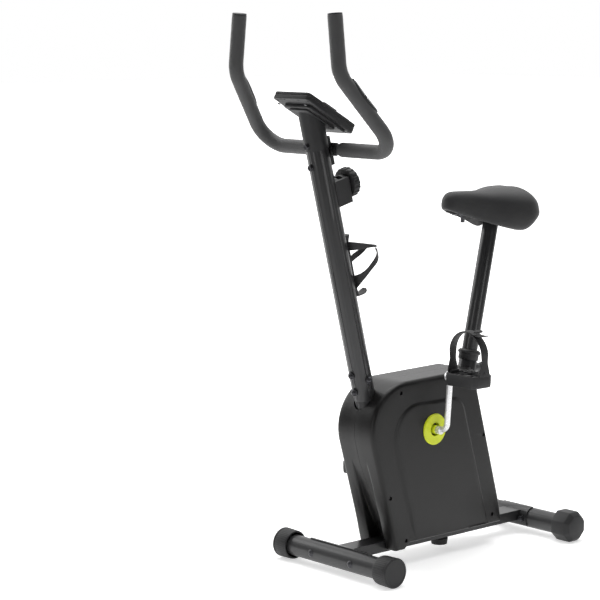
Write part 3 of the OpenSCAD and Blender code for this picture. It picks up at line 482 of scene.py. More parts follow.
def slab(w, l, r, z0, z1, edge=0.8, steps=3):
    """Plate w by l with rounded corners r, from z0 to z1, with softened top and bottom edges."""
    def ring(inset, z):
        return [(x, y, z) for x, y in oblong(w - 2 * inset, l - 2 * inset, max(0.2, r - inset), 6)]
    rings = []
    for k in range(steps + 1):
        a = math.pi / 2 * k / steps
        rings.append(ring(edge * (1 - math.sin(a)), z0 + edge * (1 - math.cos(a))))
    for k in range(steps + 1):
        a = math.pi / 2 * k / steps
        rings.append(ring(edge * (1 - math.cos(a)), z1 - edge * (1 - math.sin(a))))
    return skin(rings)


def box_part(x0, x1, y0, y1, z0, z1, r=0.8):
    w, l = x1 - x0, y1 - y0
    return moved(slab(w, l, min(r * 1.5, w / 2 - 0.1, l / 2 - 0.1), z0, z1, min(r, (z1 - z0) / 2.2)),
                 move((x0 + x1) / 2, (y0 + y1) / 2, 0))


ALONG_X = turn(90, "Y")


# ---------- drive cover ----------
COVER = [(-110, 36, 5), (-224.5, 433.5, 111), (155.5, 440, 18), (161, 392, 40), (242, 103, 90),
         (249, 50, 6), (-66, 50, 6), (-82, 36, 5)]
ARCH = [(-45, 46, 8), (-85, 147, 240), (-112, 234, 240), (-122, 300, 60), (-121, 384, 80),
        (106, 381, 45), (202, 46, 8)]
COVER_FLAT = 51.3
COVER_SIDE = 62.3
PANEL_RISE = 2.7
CHANNEL_HALF = 24.0
COVER_WALL = 2.5
SCREW_HOLE_R = 4.9
COVER_SCREWS = [(-98.8, 411.4), (181.1, 276), (-131, 166.9), (-79, 58), (214, 74)]


def reach(outline, angle):
    """Distance from the hub to a closed outline in a direction."""
    d = Vector((math.cos(angle), math.sin(angle)))
    best = 0.0
    for a, b in zip(outline, outline[1:] + outline[:1]):
        a = a - Vector((HUB_Y, HUB_Z))
        b = b - Vector((HUB_Y, HUB_Z))
        e = b - a
        det = d.x * -e.y + e.x * d.y
        if abs(det) < 1e-9:
            continue
        r = (a.x * -e.y + e.x * a.y) / det
        t = (d.x * a.y - d.y * a.x) / det
        if r > 0 and -1e-6 <= t <= 1 + 1e-6:
            best = max(best, r)
    return best


def cover_shell():
    """Left half of the drive cover as rings of stations from the seam out to the hub opening."""
    outline = fillet(COVER, gap=7, arc_step=7)
    arch = fillet(ARCH, gap=20, arc_step=8)
    centre = Vector((HUB_Y, HUB_Z))
    n = len(outline)
    columns = []
    for i, p in enumerate(outline):
        along = (outline[(i + 1) % n] - outline[i - 1]).normalized()
        inward = Vector((-along.y, along.x))
        if inward.dot(centre - p) < 0:
            inward = -inward
        angle = math.atan2(p.y - HUB_Z, p.x - HUB_Y)
        ray = Vector((math.cos(angle), math.sin(angle)))
        low = smooth(50, 120, p.y)
        bevel = 5 + 6 * low
        side = p + inward * bevel
        room = (side - centre).length - 1
        edge = min(reach(arch, angle), room)
        front_low = smooth(-60, -110, p.x) * (1 - smooth(190, 330, p.y))
        slope = 9 + 13 * front_low
        column = []

        def centre_point(x, q, sink):
            """Point near the seam, pushed into the front channel or out to the rear spine."""
            y = q.x
            depth = 35 * min(1.0, max(0.0, (250 - q.y) / 200)) ** 1.15
            floor = -110 - 0.288 * (q.y - 36) + depth * sink
            if p.x < 0 and q.y < 252:
                y = max(y, floor)
            if p.x > 120 and 225 < q.y < 436:
                y = max(y, 176 - 26 * (1 - sink))
            return (x, y, q.y)

        inner = CHANNEL_HALF
        for x, sink in ((0.35, 1), (inner - 6, 1), (inner - 2.5, 0.97), (inner - 0.6, 0.86),
                        (inner, 0.7), (inner + 0.6, 0.28), (inner + 2.2, 0.07), (inner + 6, 0)):
            column.append(centre_point(x, p, sink))
        column.append((COVER_FLAT - 8, *p))
        for k in range(0, 9):
            t = math.pi / 2 * k / 8
            q = p + inward * (bevel * (1 - math.cos(t)))
            column.append((COVER_FLAT + (COVER_SIDE - COVER_FLAT) * math.sin(t), *q))
        outer = centre + ray * edge
        inner_edge = centre + ray * max(46, edge - slope)
        for share in (0.35, 0.7, 0.97):
            column.append((COVER_SIDE, *side.lerp(outer, share)))
        for k in range(0, 7):
            t = k / 6
            q = outer.lerp(inner_edge, t)
            column.append((COVER_SIDE + panel_rise(q) * smooth(0, 1, t), *q))
        for share in (0.12, 0.28, 0.46, 0.64, 0.82, 1):
            q = inner_edge.lerp(centre + ray * 39, share)
            column.append((COVER_SIDE + panel_rise(q), *q))
        for r, x in ((37, 65), (31.5, 65), (30.4, 64.4), (30.2, 58)):
            column.append((x - 0.02, *(centre + ray * r)))
        columns.append(column)
    return skin([[c[k] for c in columns] for k in range(len(columns[0]))], caps=(False, False))


def panel_rise(q):
    """How far the arched panel stands out; it fades at the foot, where there is a soft dimple."""
    dimple = math.exp(-((q.x - 142) / 30) ** 2 - ((q.y - 115) / 36) ** 2)
    return PANEL_RISE * smooth(52, 105, q.y) - 1.3 * dimple


def cutter(part, group):
    obj = add_piece("cutter", *part, "ink", None)
    bpy.context.scene.collection.objects.unlink(obj)
    group.objects.link(obj)
    return obj


def rod(r, z0, z1, n=48):
    return lathe([(r, z0), (r, z1)], n)


def cut_with(obj, parts):
    """Cuts closed parts out of a piece."""
    group = bpy.data.collections.new("cutters")
    bpy.context.scene.collection.children.link(group)
    for part in parts:
        cutter(part, group)
    mod = obj.modifiers.new("cut", "BOOLEAN")
    mod.operation = "DIFFERENCE"
    mod.operand_type = "COLLECTION"
    mod.collection = group
    mod.solver = "EXACT"
    bake(obj)
    for o in list(group.objects):
        bpy.data.objects.remove(o)
    bpy.data.collections.remove(group)


def at_screws(part, sign):
    """Copies of a part at the cover screws of the left (1) or the right (-1) side."""
    return [moved(part, move(0, y, z) @ turn(sign * 90, "Y")) for y, z in COVER_SCREWS]


def make_covers():
    shell = cover_shell()
    for name, mirror in (("cover_left", False), ("cover_right", True)):
        obj = add_piece(name + "_shell", *(mirrored(shell) if mirror else shell), "cover_plastic", None)
        thick = obj.modifiers.new("wall", "SOLIDIFY")
        thick.thickness = COVER_WALL * MM
        thick.offset = -1
        bake(obj)
        sign = -1 if mirror else 1
        holes = [
            moved(rod(POST_D / 2 + 0.8, -120, 140), on_post(400)),
            moved(rod(22.8, -60, 100), on_seat(400)),
            moved(rod(12.6, 0, 60), on_seat(436) @ turn(-90, "X")),
            box_part(-26.6, 26.6, -300, 320, 20, 55.6),
            box_part(min(27 * sign, 58 * sign), max(27 * sign, 58 * sign), -62, 223, 30, 54),
        ]
        holes += at_screws(rod(SCREW_HOLE_R, 50, 70, 24), sign)
        cut_with(obj, holes)
        shade(obj, 40)
        settle(obj, "frame", (name,))
    ring = lathe([(SCREW_HOLE_R, 40), (SCREW_HOLE_R, 59), (6.6, 59), (6.6, 40)], 24, closed=True)
    wells = at_screws(ring, 1) + at_screws(ring, -1)
    add_piece("cover_screw_wells", *join_parts(wells), "cover_plastic", "frame")


# ---------- feet ----------
def make_feet():
    """Ribbed rollers at the front and eight-sided levelling caps at the rear."""
    ribs = 44

    def ribbed(a, r, z):
        on = smooth(151, 153, z) * (1 - smooth(182, 184, z)) if r > 32 else 0
        return r + 0.45 * on * (0.5 + 0.5 * math.tanh(3 * math.cos(ribs * a)))
    outer = [(33.0, 147.5), (33.3, 148.2), (33.6, 151), (33.8, 153), (34.1, 170), (34.4, 182),
             (34.4, 184), (33.9, 184.6), (34.9, 185.4), (35, 186.5), (35, 188.5), (34.6, 189.6),
             (33.6, 190.4), (31.5, 190.9), (29.5, 190.9), (28.8, 190.2), (15, 190.2), (0.1, 190.4)]
    inner = [(0.1, 182), (28.2, 182), (28.9, 180), (29.2, 149), (29.8, 147.7), (31.4, 147.2)]
    verts, faces = lathe(inner + outer, 264, ribbed)
    tread = (verts, faces[:-2])
    for name, body, sign in (("roller_left", "roller_l", 1), ("roller_right", "roller_r", -1)):
        part = moved(tread, move(0, FRONT_Y, TUBE_Z) @ turn(sign * 90, "Y"))
        add_piece(f"{name}_tread_{sign + 1}", *part, "cap_plastic", body, (name,), sharp=30)

    def octagon(r, x, soft, lift):
        angles = [math.radians(22.5 + 45 * k) for k in range(8)]
        corners = [(r * math.cos(a), r * math.sin(a), soft) for a in angles]
        return [(x, p.x, p.y + lift) for p in fillet(corners, gap=1e6, arc_step=12)]
    lift = 1.5
    corner_r = (CAP_R + lift) / math.cos(math.radians(22.5))
    rings = [octagon(corner_r - inset, x, 5, lift)
             for inset, x in ((2, 139.3), (0.6, 139.9), (0, 141.5), (0, 178.6), (0.3, 180.2),
                              (1.2, 181.4), (8.0, 189.4), (9.3, 190.6), (11, 191.2))]
    collar = [octagon(29, 131.4, 10.5, 0), octagon(29.8, 132.2, 10.8, 0), octagon(30, 140, 10.8, 0)]
    body_part = join_parts([skin(rings), skin(collar)])
    for name, body, flip in (("rear_cap_left", "cap_l", False), ("rear_cap_right", "cap_r", True)):
        part = mirrored(body_part) if flip else body_part
        part = moved(part, move(0, FRONT_Y + WHEELBASE, TUBE_Z))
        add_piece(name + "_shell", *part, "cap_plastic", body, (name,), sharp=28)


# ---------- saddle ----------
SPINE_FRONT, SPINE_BACK = 128, 318
SADDLE_HALF = [(0, 98), (13, 101), (22.5, 110), (27, 125), (29.5, 150), (33, 178), (42, 206), (59, 234),
               (80, 261), (94, 286), (99.5, 309), (96.5, 331), (85, 349), (64, 361), (38, 366), (16, 365.5),
               (0, 365)]


def curve(points, per):
    """Catmull-Rom points through a list, per of them to each stretch, ends kept."""
    pts = [Vector(p) for p in points]
    pts = [pts[0] * 2 - pts[1], *pts, pts[-1] * 2 - pts[-2]]
    out = []
    for a, b, c, d in zip(pts, pts[1:], pts[2:], pts[3:]):
        for k in range(per):
            t = k / per
            out.append(0.5 * (2 * b + (c - a) * t + (2 * a - 5 * b + 4 * c - d) * t * t
                              + (3 * b - a - 3 * c + d) * t ** 3))
    out.append(pts[-2])
    return out


def saddle_top(y):
    """Height of the saddle's crown along its length."""
    dip = 2.5 * math.exp(-((y - 205) / 45) ** 2)
    return 865.5 - dip + 5 * smooth(215, 290, y) - 12 * smooth(318, 368, y)


def saddle_widest(y):
    """Height at which the side is furthest out."""
    return 829 - 24 * smooth(120, 290, y)


def saddle_tuck(y):
    """How far the side curls under at the rim: little along the neck, where the rails run inside."""
    return 5 + 20 * smooth(205, 285, y)


def saddle_rim(y):
    """Height of the lower edge: it slopes down the neck and is level round the wings."""
    slope = 818 - 0.315 * (y - 98)
    wing = 755 + 38 * smooth(285, 368, y)
    return 0.5 * (slope + wing + math.hypot(slope - wing, 12))


def saddle_outline():
    """Closed outline of the pad from above."""
    half = curve(SADDLE_HALF, 5)
    return half + [Vector((-p.x, p.y)) for p in half[-2:0:-1]]


def spine_of(p):
    return Vector((0, min(max(p.y, SPINE_FRONT), SPINE_BACK)))


def moved_in(p, inset, most=1.0):
    """A point of the outline moved in towards the spine, by no more than a share of the way."""
    d = spine_of(p) - p
    return p + d * min(most, inset / max(d.length, 1e-6))


def saddle_closed(shrink):
    """Closed pad: crown, rounded side and a flat-bottomed rim, as rings from the rim to the spine."""
    full = saddle_outline()
    rings = []

    def ring(share_in, height):
        pts = []
        for p in full:
            q = moved_in(p, shrink + saddle_tuck(p.y) * share_in)
            pts.append((q.x, q.y, height(p)))
        return pts
    rings.append(ring(1.4, lambda p: saddle_rim(p.y) + 1))
    for k in range(0, 8):
        a = math.pi / 2 * k / 7
        rings.append(ring(1 - math.sin(a), lambda p, a=a: saddle_widest(p.y)
                          - (saddle_widest(p.y) - saddle_rim(p.y)) * math.cos(a)))
    for k in range(1, 15):
        t = k / 14
        lift = (1 - (1 - t) ** 2.1) ** (1 / 2.1)
        share = t ** 1.08
        pts = []
        for p in full:
            q = moved_in(p, shrink).lerp(spine_of(p), share)
            low, top = saddle_widest(p.y), saddle_top(q.y)
            valley = 2.5 * math.exp(-(q.x / 20) ** 2) * smooth(225, 300, q.y)
            pts.append((q.x, q.y, low + (top - low - shrink) * lift - valley))
        rings.append(pts)
    return skin(rings, caps=(True, False))


def saddle_hollow():
    """Room under the pad for the base plate, rails and clamp, as one stepped solid."""
    rings = []
    for z, side, curl in ((720, 5, 1.0), (811.9, 5, 0.9), (812, 12.5, 0), (820.1, 12.5, 0)):
        ring = [moved_in(p, side + curl * saddle_tuck(p.y), 0.98) for p in saddle_outline()]
        rings.append([(q.x, q.y, z) for q in ring])
    return skin(rings)


def make_saddle():
    pad = add_piece("saddle_cushion", *saddle_closed(2.5), "saddle_vinyl", None)
    remesh = pad.modifiers.new("even", "REMESH")
    remesh.mode = "VOXEL"
    remesh.voxel_size = 4.5 * MM
    bake(pad)
    inflate(pad, pressure=3.0, cap=3 * MM)
    relax = pad.modifiers.new("relax", "SMOOTH")
    relax.factor = 0.5
    relax.iterations = 6
    finer = pad.modifiers.new("finer", "SUBSURF")
    finer.levels = finer.render_levels = 1
    bake(pad)
    cut_with(pad, [saddle_hollow()])
    pad.data.materials.clear()
    pad.data.materials.append(M["saddle_vinyl"])
    shade(pad, 50)
    settle(pad, "saddle", ("saddle_pad",))


def inflate(obj, pressure, cap):
    """Puffs a closed mesh with a cloth simulation; no point moves further than cap."""
    rest = np.array([v.co for v in obj.data.vertices])
    pin = obj.vertex_groups.new(name="pin")
    for v in obj.data.vertices:
        z = v.co.z / MM
        y = v.co.y / MM
        pin.add([v.index], 1.0 - smooth(6, 22, z - saddle_rim(y)), "REPLACE")
    cloth = obj.modifiers.new("cloth", "CLOTH")
    s = cloth.settings
    s.quality = 5
    s.mass = 0.4
    s.tension_stiffness = s.compression_stiffness = 25
    s.shear_stiffness = 15
    s.bending_stiffness = 3
    s.use_pressure = True
    s.uniform_pressure_force = pressure
    s.vertex_group_mass = "pin"
    s.effector_weights.gravity = 0
    cloth.collision_settings.use_collision = False
    scene = bpy.context.scene
    cloth.point_cache.frame_start, cloth.point_cache.frame_end = 1, 20
    for f in range(1, 21):
        scene.frame_set(f)
    bake(obj)
    scene.frame_set(1)
    now = np.array([v.co for v in obj.data.vertices])
    step = now - rest
    length = np.linalg.norm(step, axis=1, keepdims=True)
    step *= np.minimum(1.0, cap / np.maximum(length, 1e-9))
    obj.data.vertices.foreach_set("co", (rest + step).astype(np.float32).ravel())
    obj.data.update()


# ---------- handlebar ----------
def bar_path():
    """Middle line of the left half of the handlebar, from the clamp to the grip's end."""
    corners = [(*point, bend) for point, bend in zip(BAR_PATH, (0, *BAR_BENDS, 0))]
    return fillet(corners, closed=False, arc_step=4, gap=6.0)


def lengths(path):
    """Distance along a path at each of its points."""
    total, out = 0.0, [0.0]
    for a, b in zip(path, path[1:]):
        total += (b - a).length
        out.append(total)
    return out


def make_grips():
    path = bar_path()
    run = lengths(path)
    keep = [(p, s) for p, s in zip(path, run) if s > BARE_HALF + 12]
    start = Vector((BARE_HALF + 2, *BAR_PATH[0][1:]))
    nose = [(start + Vector((d, 0, 0)), r)
            for d, r in ((0, 11.2), (0.3, 12.6), (1.2, 13.6), (3, 14.6), (5.5, 15.7), (8, 16.3),
                         (10, FOAM_R))]
    end, back = keep[-1][0], (keep[-2][0] - keep[-1][0]).normalized()
    tail = [(end + back * d, r)
            for d, r in ((3.0, FOAM_R), (1.4, 16.3), (0.5, 15.8), (0.05, 15.0), (0, 11.2))]
    pts = [p for p, r in nose] + [p for p, s in keep[:-1]] + [p for p, r in tail]
    rad = [r for p, r in nose] + [FOAM_R] * (len(keep) - 1) + [r for p, r in tail]

    def section(i):
        wobble = 0.12 * math.sin(i * 1.7) * math.sin(i * 0.61)
        return circle(rad[i] + (wobble if rad[i] == FOAM_R else 0), 48)
    grip = sweep(pts, section, (0, 0, 1))
    for name, flip in (("grip_left", False), ("grip_right", True)):
        obj = add_piece(name + "_foam", *(mirrored(grip) if flip else grip), "foam", "bar", (name,),
                        sharp=50)


def tube_patch(z0, z1, widest, r_in, rise):
    """Pillow-shaped plate that lies on the grip, pointed at both ends, from z0 to z1 up the grip."""
    h1, h2 = Vector(BAR_PATH[2]), Vector(BAR_PATH[1])
    along = (h1 - h2).normalized()
    facing = Vector((0.35, 1, 0.5))
    facing = (facing - along * facing.dot(along)).normalized()
    across = along.cross(facing)
    foot = h1 - along * 119
    nz, nw = 30, 18

    def at(z, a, r):
        return foot + along * z + (facing * math.cos(a) + across * math.sin(a)) * r
    rings = []
    for i in range(nz + 1):
        z = z0 + (z1 - z0) * i / nz
        t = abs(z - 48) / 48
        half = math.radians(widest) * max(0.02, (1 - t ** 2.2)) ** 0.72
        ends = min(z - z0, z1 - z, 3.0) / 3.0
        ring = []
        for j in range(nw + 1):
            u = -1 + 2 * j / nw
            bulge = (1 - abs(u) ** 7) * (1 - (1 - ends) ** 3)
            ring.append(at(z, half * u, r_in + rise * bulge))
        for j in range(nw - 1, 0, -1):
            ring.append(at(z, half * (-1 + 2 * j / nw), r_in - 0.4))
        rings.append(ring)
    return skin(rings)


def make_sensors():
    base = tube_patch(0, 96, 64, FOAM_R, 3.2)
    plates = [tube_patch(z, z + 39, 50, FOAM_R + 2.6, 1.5) for z in (5, 52)]
    add_piece("pulse_sensor_bases", *join_parts([base, mirrored(base)]), "cap_plastic", "bar",
              ("sensor_bases",), sharp=40)
    both = join_parts(plates + [mirrored(p) for p in plates])
    add_piece("pulse_sensor_plates", *both, "sensor_steel", "bar", ("sensor_plates",), sharp=40)


# ---------- pedals ----------
def pedal_part():
    w, l, h = PEDAL_W, PEDAL_L, PEDAL_H

    def ring(inset, z):
        return [(x, y, z) for x, y in oblong(w - 2 * inset, l - 2 * inset, max(3.0, 15 - inset), 7)]
    top = h / 2
    shell = skin([ring(3.2, -top), ring(1.8, -top + 0.6), ring(1.1, -top + 2.2), ring(0.2, -4),
                  ring(0, 4), ring(0.1, top - 1.6), ring(0.6, top - 0.5), ring(1.6, top),
                  ring(4.4, top), ring(5.4, top - 0.6), ring(6.0, top - 2), ring(6.4, -top + 2),
                  ring(5.6, -top), ring(3.2, -top)], caps=(False, False))
    parts = [shell]
    barrel = lathe([(5.1, -46.0), (9.6, -46.0), (10.6, -44.5), (10.6, 44.5), (9.6, 46.0),
                    (5.1, 46.0)], 40, closed=True)
    parts.append(moved(barrel, ALONG_X))
    for x in (-30, -15, 15, 30):
        parts.append(box_part(x - 1.6, x + 1.6, -l / 2 + 5, l / 2 - 5, -h / 2 + 3, h / 2 - 2, 0.7))
    for y in (-l / 2 + 9.5, l / 2 - 9.5):
        parts.append(box_part(-w / 2 + 5, w / 2 - 5, y - 1.6, y + 1.6, -h / 2 + 5, h / 2 - 1.5, 0.7))
    for side in (-1, 1):
        for k in range(9):
            x = -36 + 9 * k
            y = side * (l / 2 - 3.0)
            parts.append(box_part(x - 2.2, x + 2.2, y - 1.6, y + 1.6, h / 2 - 1.5, h / 2 + 1.2, 0.6))
        ear = side * (w / 2 - 4)
        parts.append(box_part(ear - 3, ear + 3, -14, 14, h / 2 - 6, h / 2 + 4, 2.0))
    parts.append(moved(lathe([(4.6, -1.6), (4.6, 1.2), (3.6, 2.0), (0.1, 2.2)], 24),
                       move(w / 2 + 2, 0, h / 2 + 5) @ turn(90, "Y")))
    return join_parts(parts)


def strap_part():
    """Rubber foot strap in two bands: the inner one runs over the top and ends in a free tail."""
    foot, top = 12.5, PEDAL_H / 2 + 100
    half = PEDAL_W / 2 + 1.5

    def arch(span, lift):
        """Points on an arch from the inner leg towards the outer one, lifted most at its top."""
        turned = [span * k / 22 for k in range(23)]
        return [Vector((-(half + lift * math.sin(a)) * math.cos(a), 0,
                        (top - 52) + (50 + lift) * math.sin(a))) for a in turned]

    def band(path):
        def section(i):
            z = path[i].z
            width = 20 + 13 * (1 - smooth(foot + 4, foot + 36, z)) + 3 * smooth(foot + 34, foot + 52, z)
            return oblong(width, 2.6, 2.6 * 0.42, 3)
        return sweep(path, section, (1, 0, 0))
    legs = [Vector((-half, 0, foot + 5.5 * k)) for k in range(9)]
    over = arch(math.radians(112), 0.6)
    tail = [over[-1] + Vector((5.5 * k, 0, -1.9 * k + 0.26 * k * k)) for k in range(1, 7)]
    inner = band(legs + over[1:] + tail)
    outer_legs = [Vector((half, 0, foot + 5.5 * k)) for k in range(9)]
    under = [Vector((-p.x, 0, p.z)) for p in arch(math.radians(72), -2.6)]
    outer = band(outer_legs + under[1:])
    buckle = moved(slab(9, 26, 3, -1.2, 2.6, 0.8), move(half * 0.56, 0, top + 0.4) @ turn(22, "Y"))
    return join_parts([inner, outer, buckle])


def make_pedals():
    pedal, strap = pedal_part(), strap_part()
    for side, body, sign in (("left", "pedal_l", 1), ("right", "pedal_r", -1)):
        at = move(sign * PEDAL_X, HUB_Y + sign * PEDAL_DY, HUB_Z + sign * PEDAL_DZ)
        for kind, part, ending, material, sharp in (
                ("pedal", pedal, "body", "pedal_plastic", 32),
                ("strap", strap, "band", "strap_rubber", 40)):
            part = moved(mirrored(part) if sign < 0 else part, at)
            add_piece(f"{kind}_{side}_{ending}", *part, material, body, (f"{kind}_{side}",),
                      sharp=sharp)


# ---------- console, knob ----------
SEGMENTS = {"0": "abcdef", "1": "bc", "2": "abged", "3": "abgcd", "4": "fgbc", "5": "afgcd",
            "6": "afgedc", "7": "abc", "8": "abcdefg", "9": "abcdfg"}


def digit_part(character, w, h, thick, depth):
    """Seven-segment digit in the XY plane, lower left corner at the origin."""
    bars = {"a": (0, w, h - thick, h), "g": (0, w, (h - thick) / 2, (h + thick) / 2),
            "d": (0, w, 0, thick), "f": (0, thick, h / 2, h), "b": (w - thick, w, h / 2, h),
            "e": (0, thick, 0, h / 2), "c": (w - thick, w, 0, h / 2)}
    parts = []
    for key in SEGMENTS[character]:
        x0, x1, y0, y1 = bars[key]
        g = thick * 0.12
        parts.append(box_part(x0 + g, x1 - g, y0 + g, y1 - g, 0, depth, depth * 0.3))
    return join_parts(parts)


def make_console():
    con = on_console()
    back = [moved(slab(88, 124, 8, -25, -16, 2.0), move(0, 88, 0)),
            moved(slab(62, 96, 6, -29, -24, 1.2), move(0, 82, 0))]
    body = add_piece("console_back_shell", *join_parts(back), "console_black", None, place=con)
    cut_with(body, [moved(rod(POST_D / 2 + 1.2, -60, 120), on_post(1040))])
    shade(body, 32)
    settle(body, "frame", ("console_back",))

    def leaning(y):
        """How much deeper the shell is towards its lower end."""
        return 5 * y / CONSOLE_L
    middle = move(0, CONSOLE_L / 2, 0)
    verts, faces = moved(slab(CONSOLE_W, CONSOLE_L, 9, -17, -7, 2.2, 4), middle)
    rim = ([(x, y, z - leaning(y) if z < -12 else z) for x, y, z in verts], faces)
    seat = moved(slab(84, 120, 7, -19.8, -15, 0.6), move(0, 88, 0))
    add_piece("console_back_rim", *join_parts([rim, seat]), "console_black", "frame", place=con,
              sharp=32)
    # Thin dark discs on the rim's underside where its screw holes are: painted shade standing in for the
    # holes' depth.
    holes = [moved(rod(r, -17.8 - leaning(y), -17.1 - leaning(y), 20), move(x, y, 0))
             for x, y, r in ((-50, 12, 2.6), (50, 12, 2.6), (22, 7, 1.6), (-22, 7, 1.6),
                             (50, 150, 2.6), (-50, 150, 2.6))]
    add_piece("console_screw_hole_shade", *join_parts(holes), "ink", "frame", place=con)

    face = moved(slab(CONSOLE_W, CONSOLE_L, 9, -7, 0, 2.2, 5), middle)
    front = add_piece("console_front_skin", *face, "console_black", None, place=con)
    steps = [moved(slab(100, 84, 5, -1, 3.5, 1.4, 4), move(0, 103, 0)),
             moved(slab(90, 44, 5, 2, 7.5, 1.8, 4), move(0, 83, 0))]
    panel = add_piece("console_front_panel", *join_parts(steps), "console_grey", None, place=con)
    window = moved(slab(50, 20, 1.5, -2.5, 20, 0.2), move(0, 89, 0))
    key = moved(slab(26.4, 12.4, 3, -6.6, 20, 0.2), move(0, 120, 0))
    for obj in (front, panel):
        cut_with(obj, [moved(window, con), moved(key, con)])
        shade(obj, 32)
    settle(front, "frame", ("console_front",))
    settle(panel, "frame", ())

    glass = moved(slab(49, 19, 1.2, -3, 4.6, 0.3), move(0, 89, 0))
    add_piece("console_lcd", *glass, "lcd", "frame", ("console_display",), place=con)
    face_z, raised = 4.6, 0.25
    zero = mirror_y(digit_part("0", 4.2, 8.4, 1.15, raised), 8.4)
    digits = [moved(zero, move(x, 84.8, face_z)) for x in (1.5, 7.9, 15.2)]
    digits.append(moved(box_part(0, 1.2, 0, 1.2, 0, raised, 0.1), move(13.2, 92.0, face_z)))
    digits += [moved(box_part(0, 3.4, 0, 0.9, 0, raised, 0.1), move(-20, 84.2 + 2.4 * k, face_z))
               for k in range(4)]
    add_piece("console_lcd_digits", *join_parts(digits), "ink", "frame", place=con)
    key_top = moved(slab(25.4, 11.4, 2.6, -4.2, 5.4, 1.2, 4), move(0, 120, 0))
    add_piece("console_key", *key_top, "button_grey", "button", ("console_button",), place=con)


def mirror_y(part, h):
    return [(x, h - y, z) for x, y, z in part[0]], part[1]


def make_knob():
    axis = on_post(885) @ turn(-90, "X")
    teeth = 18

    def fluted(a, r, z):
        if r < 32.9 or not 63 < z < 79:
            return r
        t = math.cos(teeth * a)
        return r + 1.9 * (0.5 + 0.5 * math.tanh(5 * t)) - 0.9
    profile = [(4.0, 40), (4.0, 61.5), (31, 61.5), (32.4, 61.9), (33.0, 62.8), (33.4, 64.2),
               (33.9, 65.6), (33.9, 70), (33.9, 76), (33.7, 77.6), (33.2, 78.8), (31.6, 80.4),
               (29.6, 81.8), (28.2, 82.5), (26.6, 82.5), (25.4, 82.1), (25.05, 81.4), (25.0, 80.1),
               (0.1, 80.1)]
    add_piece("tension_knob_grip", *lathe(profile, 240, fluted), "cap_plastic", "knob",
              ("tension_knob",), place=axis, sharp=32)
    disc = lathe([(0.1, 80.1), (24.8, 80.1), (24.8, 81.2), (24.4, 81.6), (0.1, 81.6)], 72)
    add_piece("knob_dial_disc", *disc, "dial_black", "knob", ("knob_dial",), place=axis)

    z0, z1 = 81.6, 81.85

    def at(angle, r):
        """Angles run clockwise from the top of the dial as the rider sees it."""
        a = math.radians(angle)
        return (-r * math.sin(a), -r * math.cos(a))

    def flat(points):
        lower = [(x, y, z0) for x, y in points]
        return skin([lower, [(x, y, z1) for x, y in points]])

    def band(r, t, a0, a1):
        arc = [a0 + (a1 - a0) * k / 20 for k in range(21)]
        return flat([at(a, r + t / 2) for a in arc] + [at(a, r - t / 2) for a in reversed(arc)])
    marks = [flat([at(0, 24.2), at(-7, 21.0), at(7, 21.0)])]
    for k in range(8):
        a = -122 + 244 * k / 7
        marks.append(flat([at(a - 0.9, 23.6), at(a + 0.9, 23.6), at(a + 0.9, 21.6), at(a - 0.9, 21.6)]))
        glyph = digit_part(str(k + 1), 1.9, 3.4, 0.5, 0.25)
        spot = move(*at(a, 18.4), z0) @ turn(a, "Z") @ move(-0.95, 1.7, 0)
        marks.append(moved(mirror_y(glyph, 0), spot))
    marks += [band(11.5, 1.2, -120, -20), band(11.5, 1.2, 20, 120)]
    marks += [flat([at(a, 13.6), at(a, 9.4), at(a + 14, 11.5)]) for a in (-20, 120)]
    marks.append(band(7.2, 0.7, -150, 150))
    add_piece("knob_dial_marks", *join_parts(marks), "print_white", "knob", place=axis)


# ---------- bottle cage ----------
CAGE_LOW = [(22, -40), (28, -46), (51, -57), (78, -65), (95, -70), (108, -76), (120, -83),
            (138, -94), (166, -112)]
CAGE_HIGH = [(22, -37), (40, -38), (56, -44), (78, -50), (99, -58), (121, -69), (142, -76),
             (166, -80)]


def along(table, a):
    """Height at an angle, read from a table with soft corners."""
    span = 6
    steps = [a + span * (k - 2) / 2 for k in range(5)]
    xs, ys = [p[0] for p in table], [p[1] for p in table]
    return float(np.mean([np.interp(min(max(v, xs[0]), xs[-1]), xs, ys) for v in steps]))


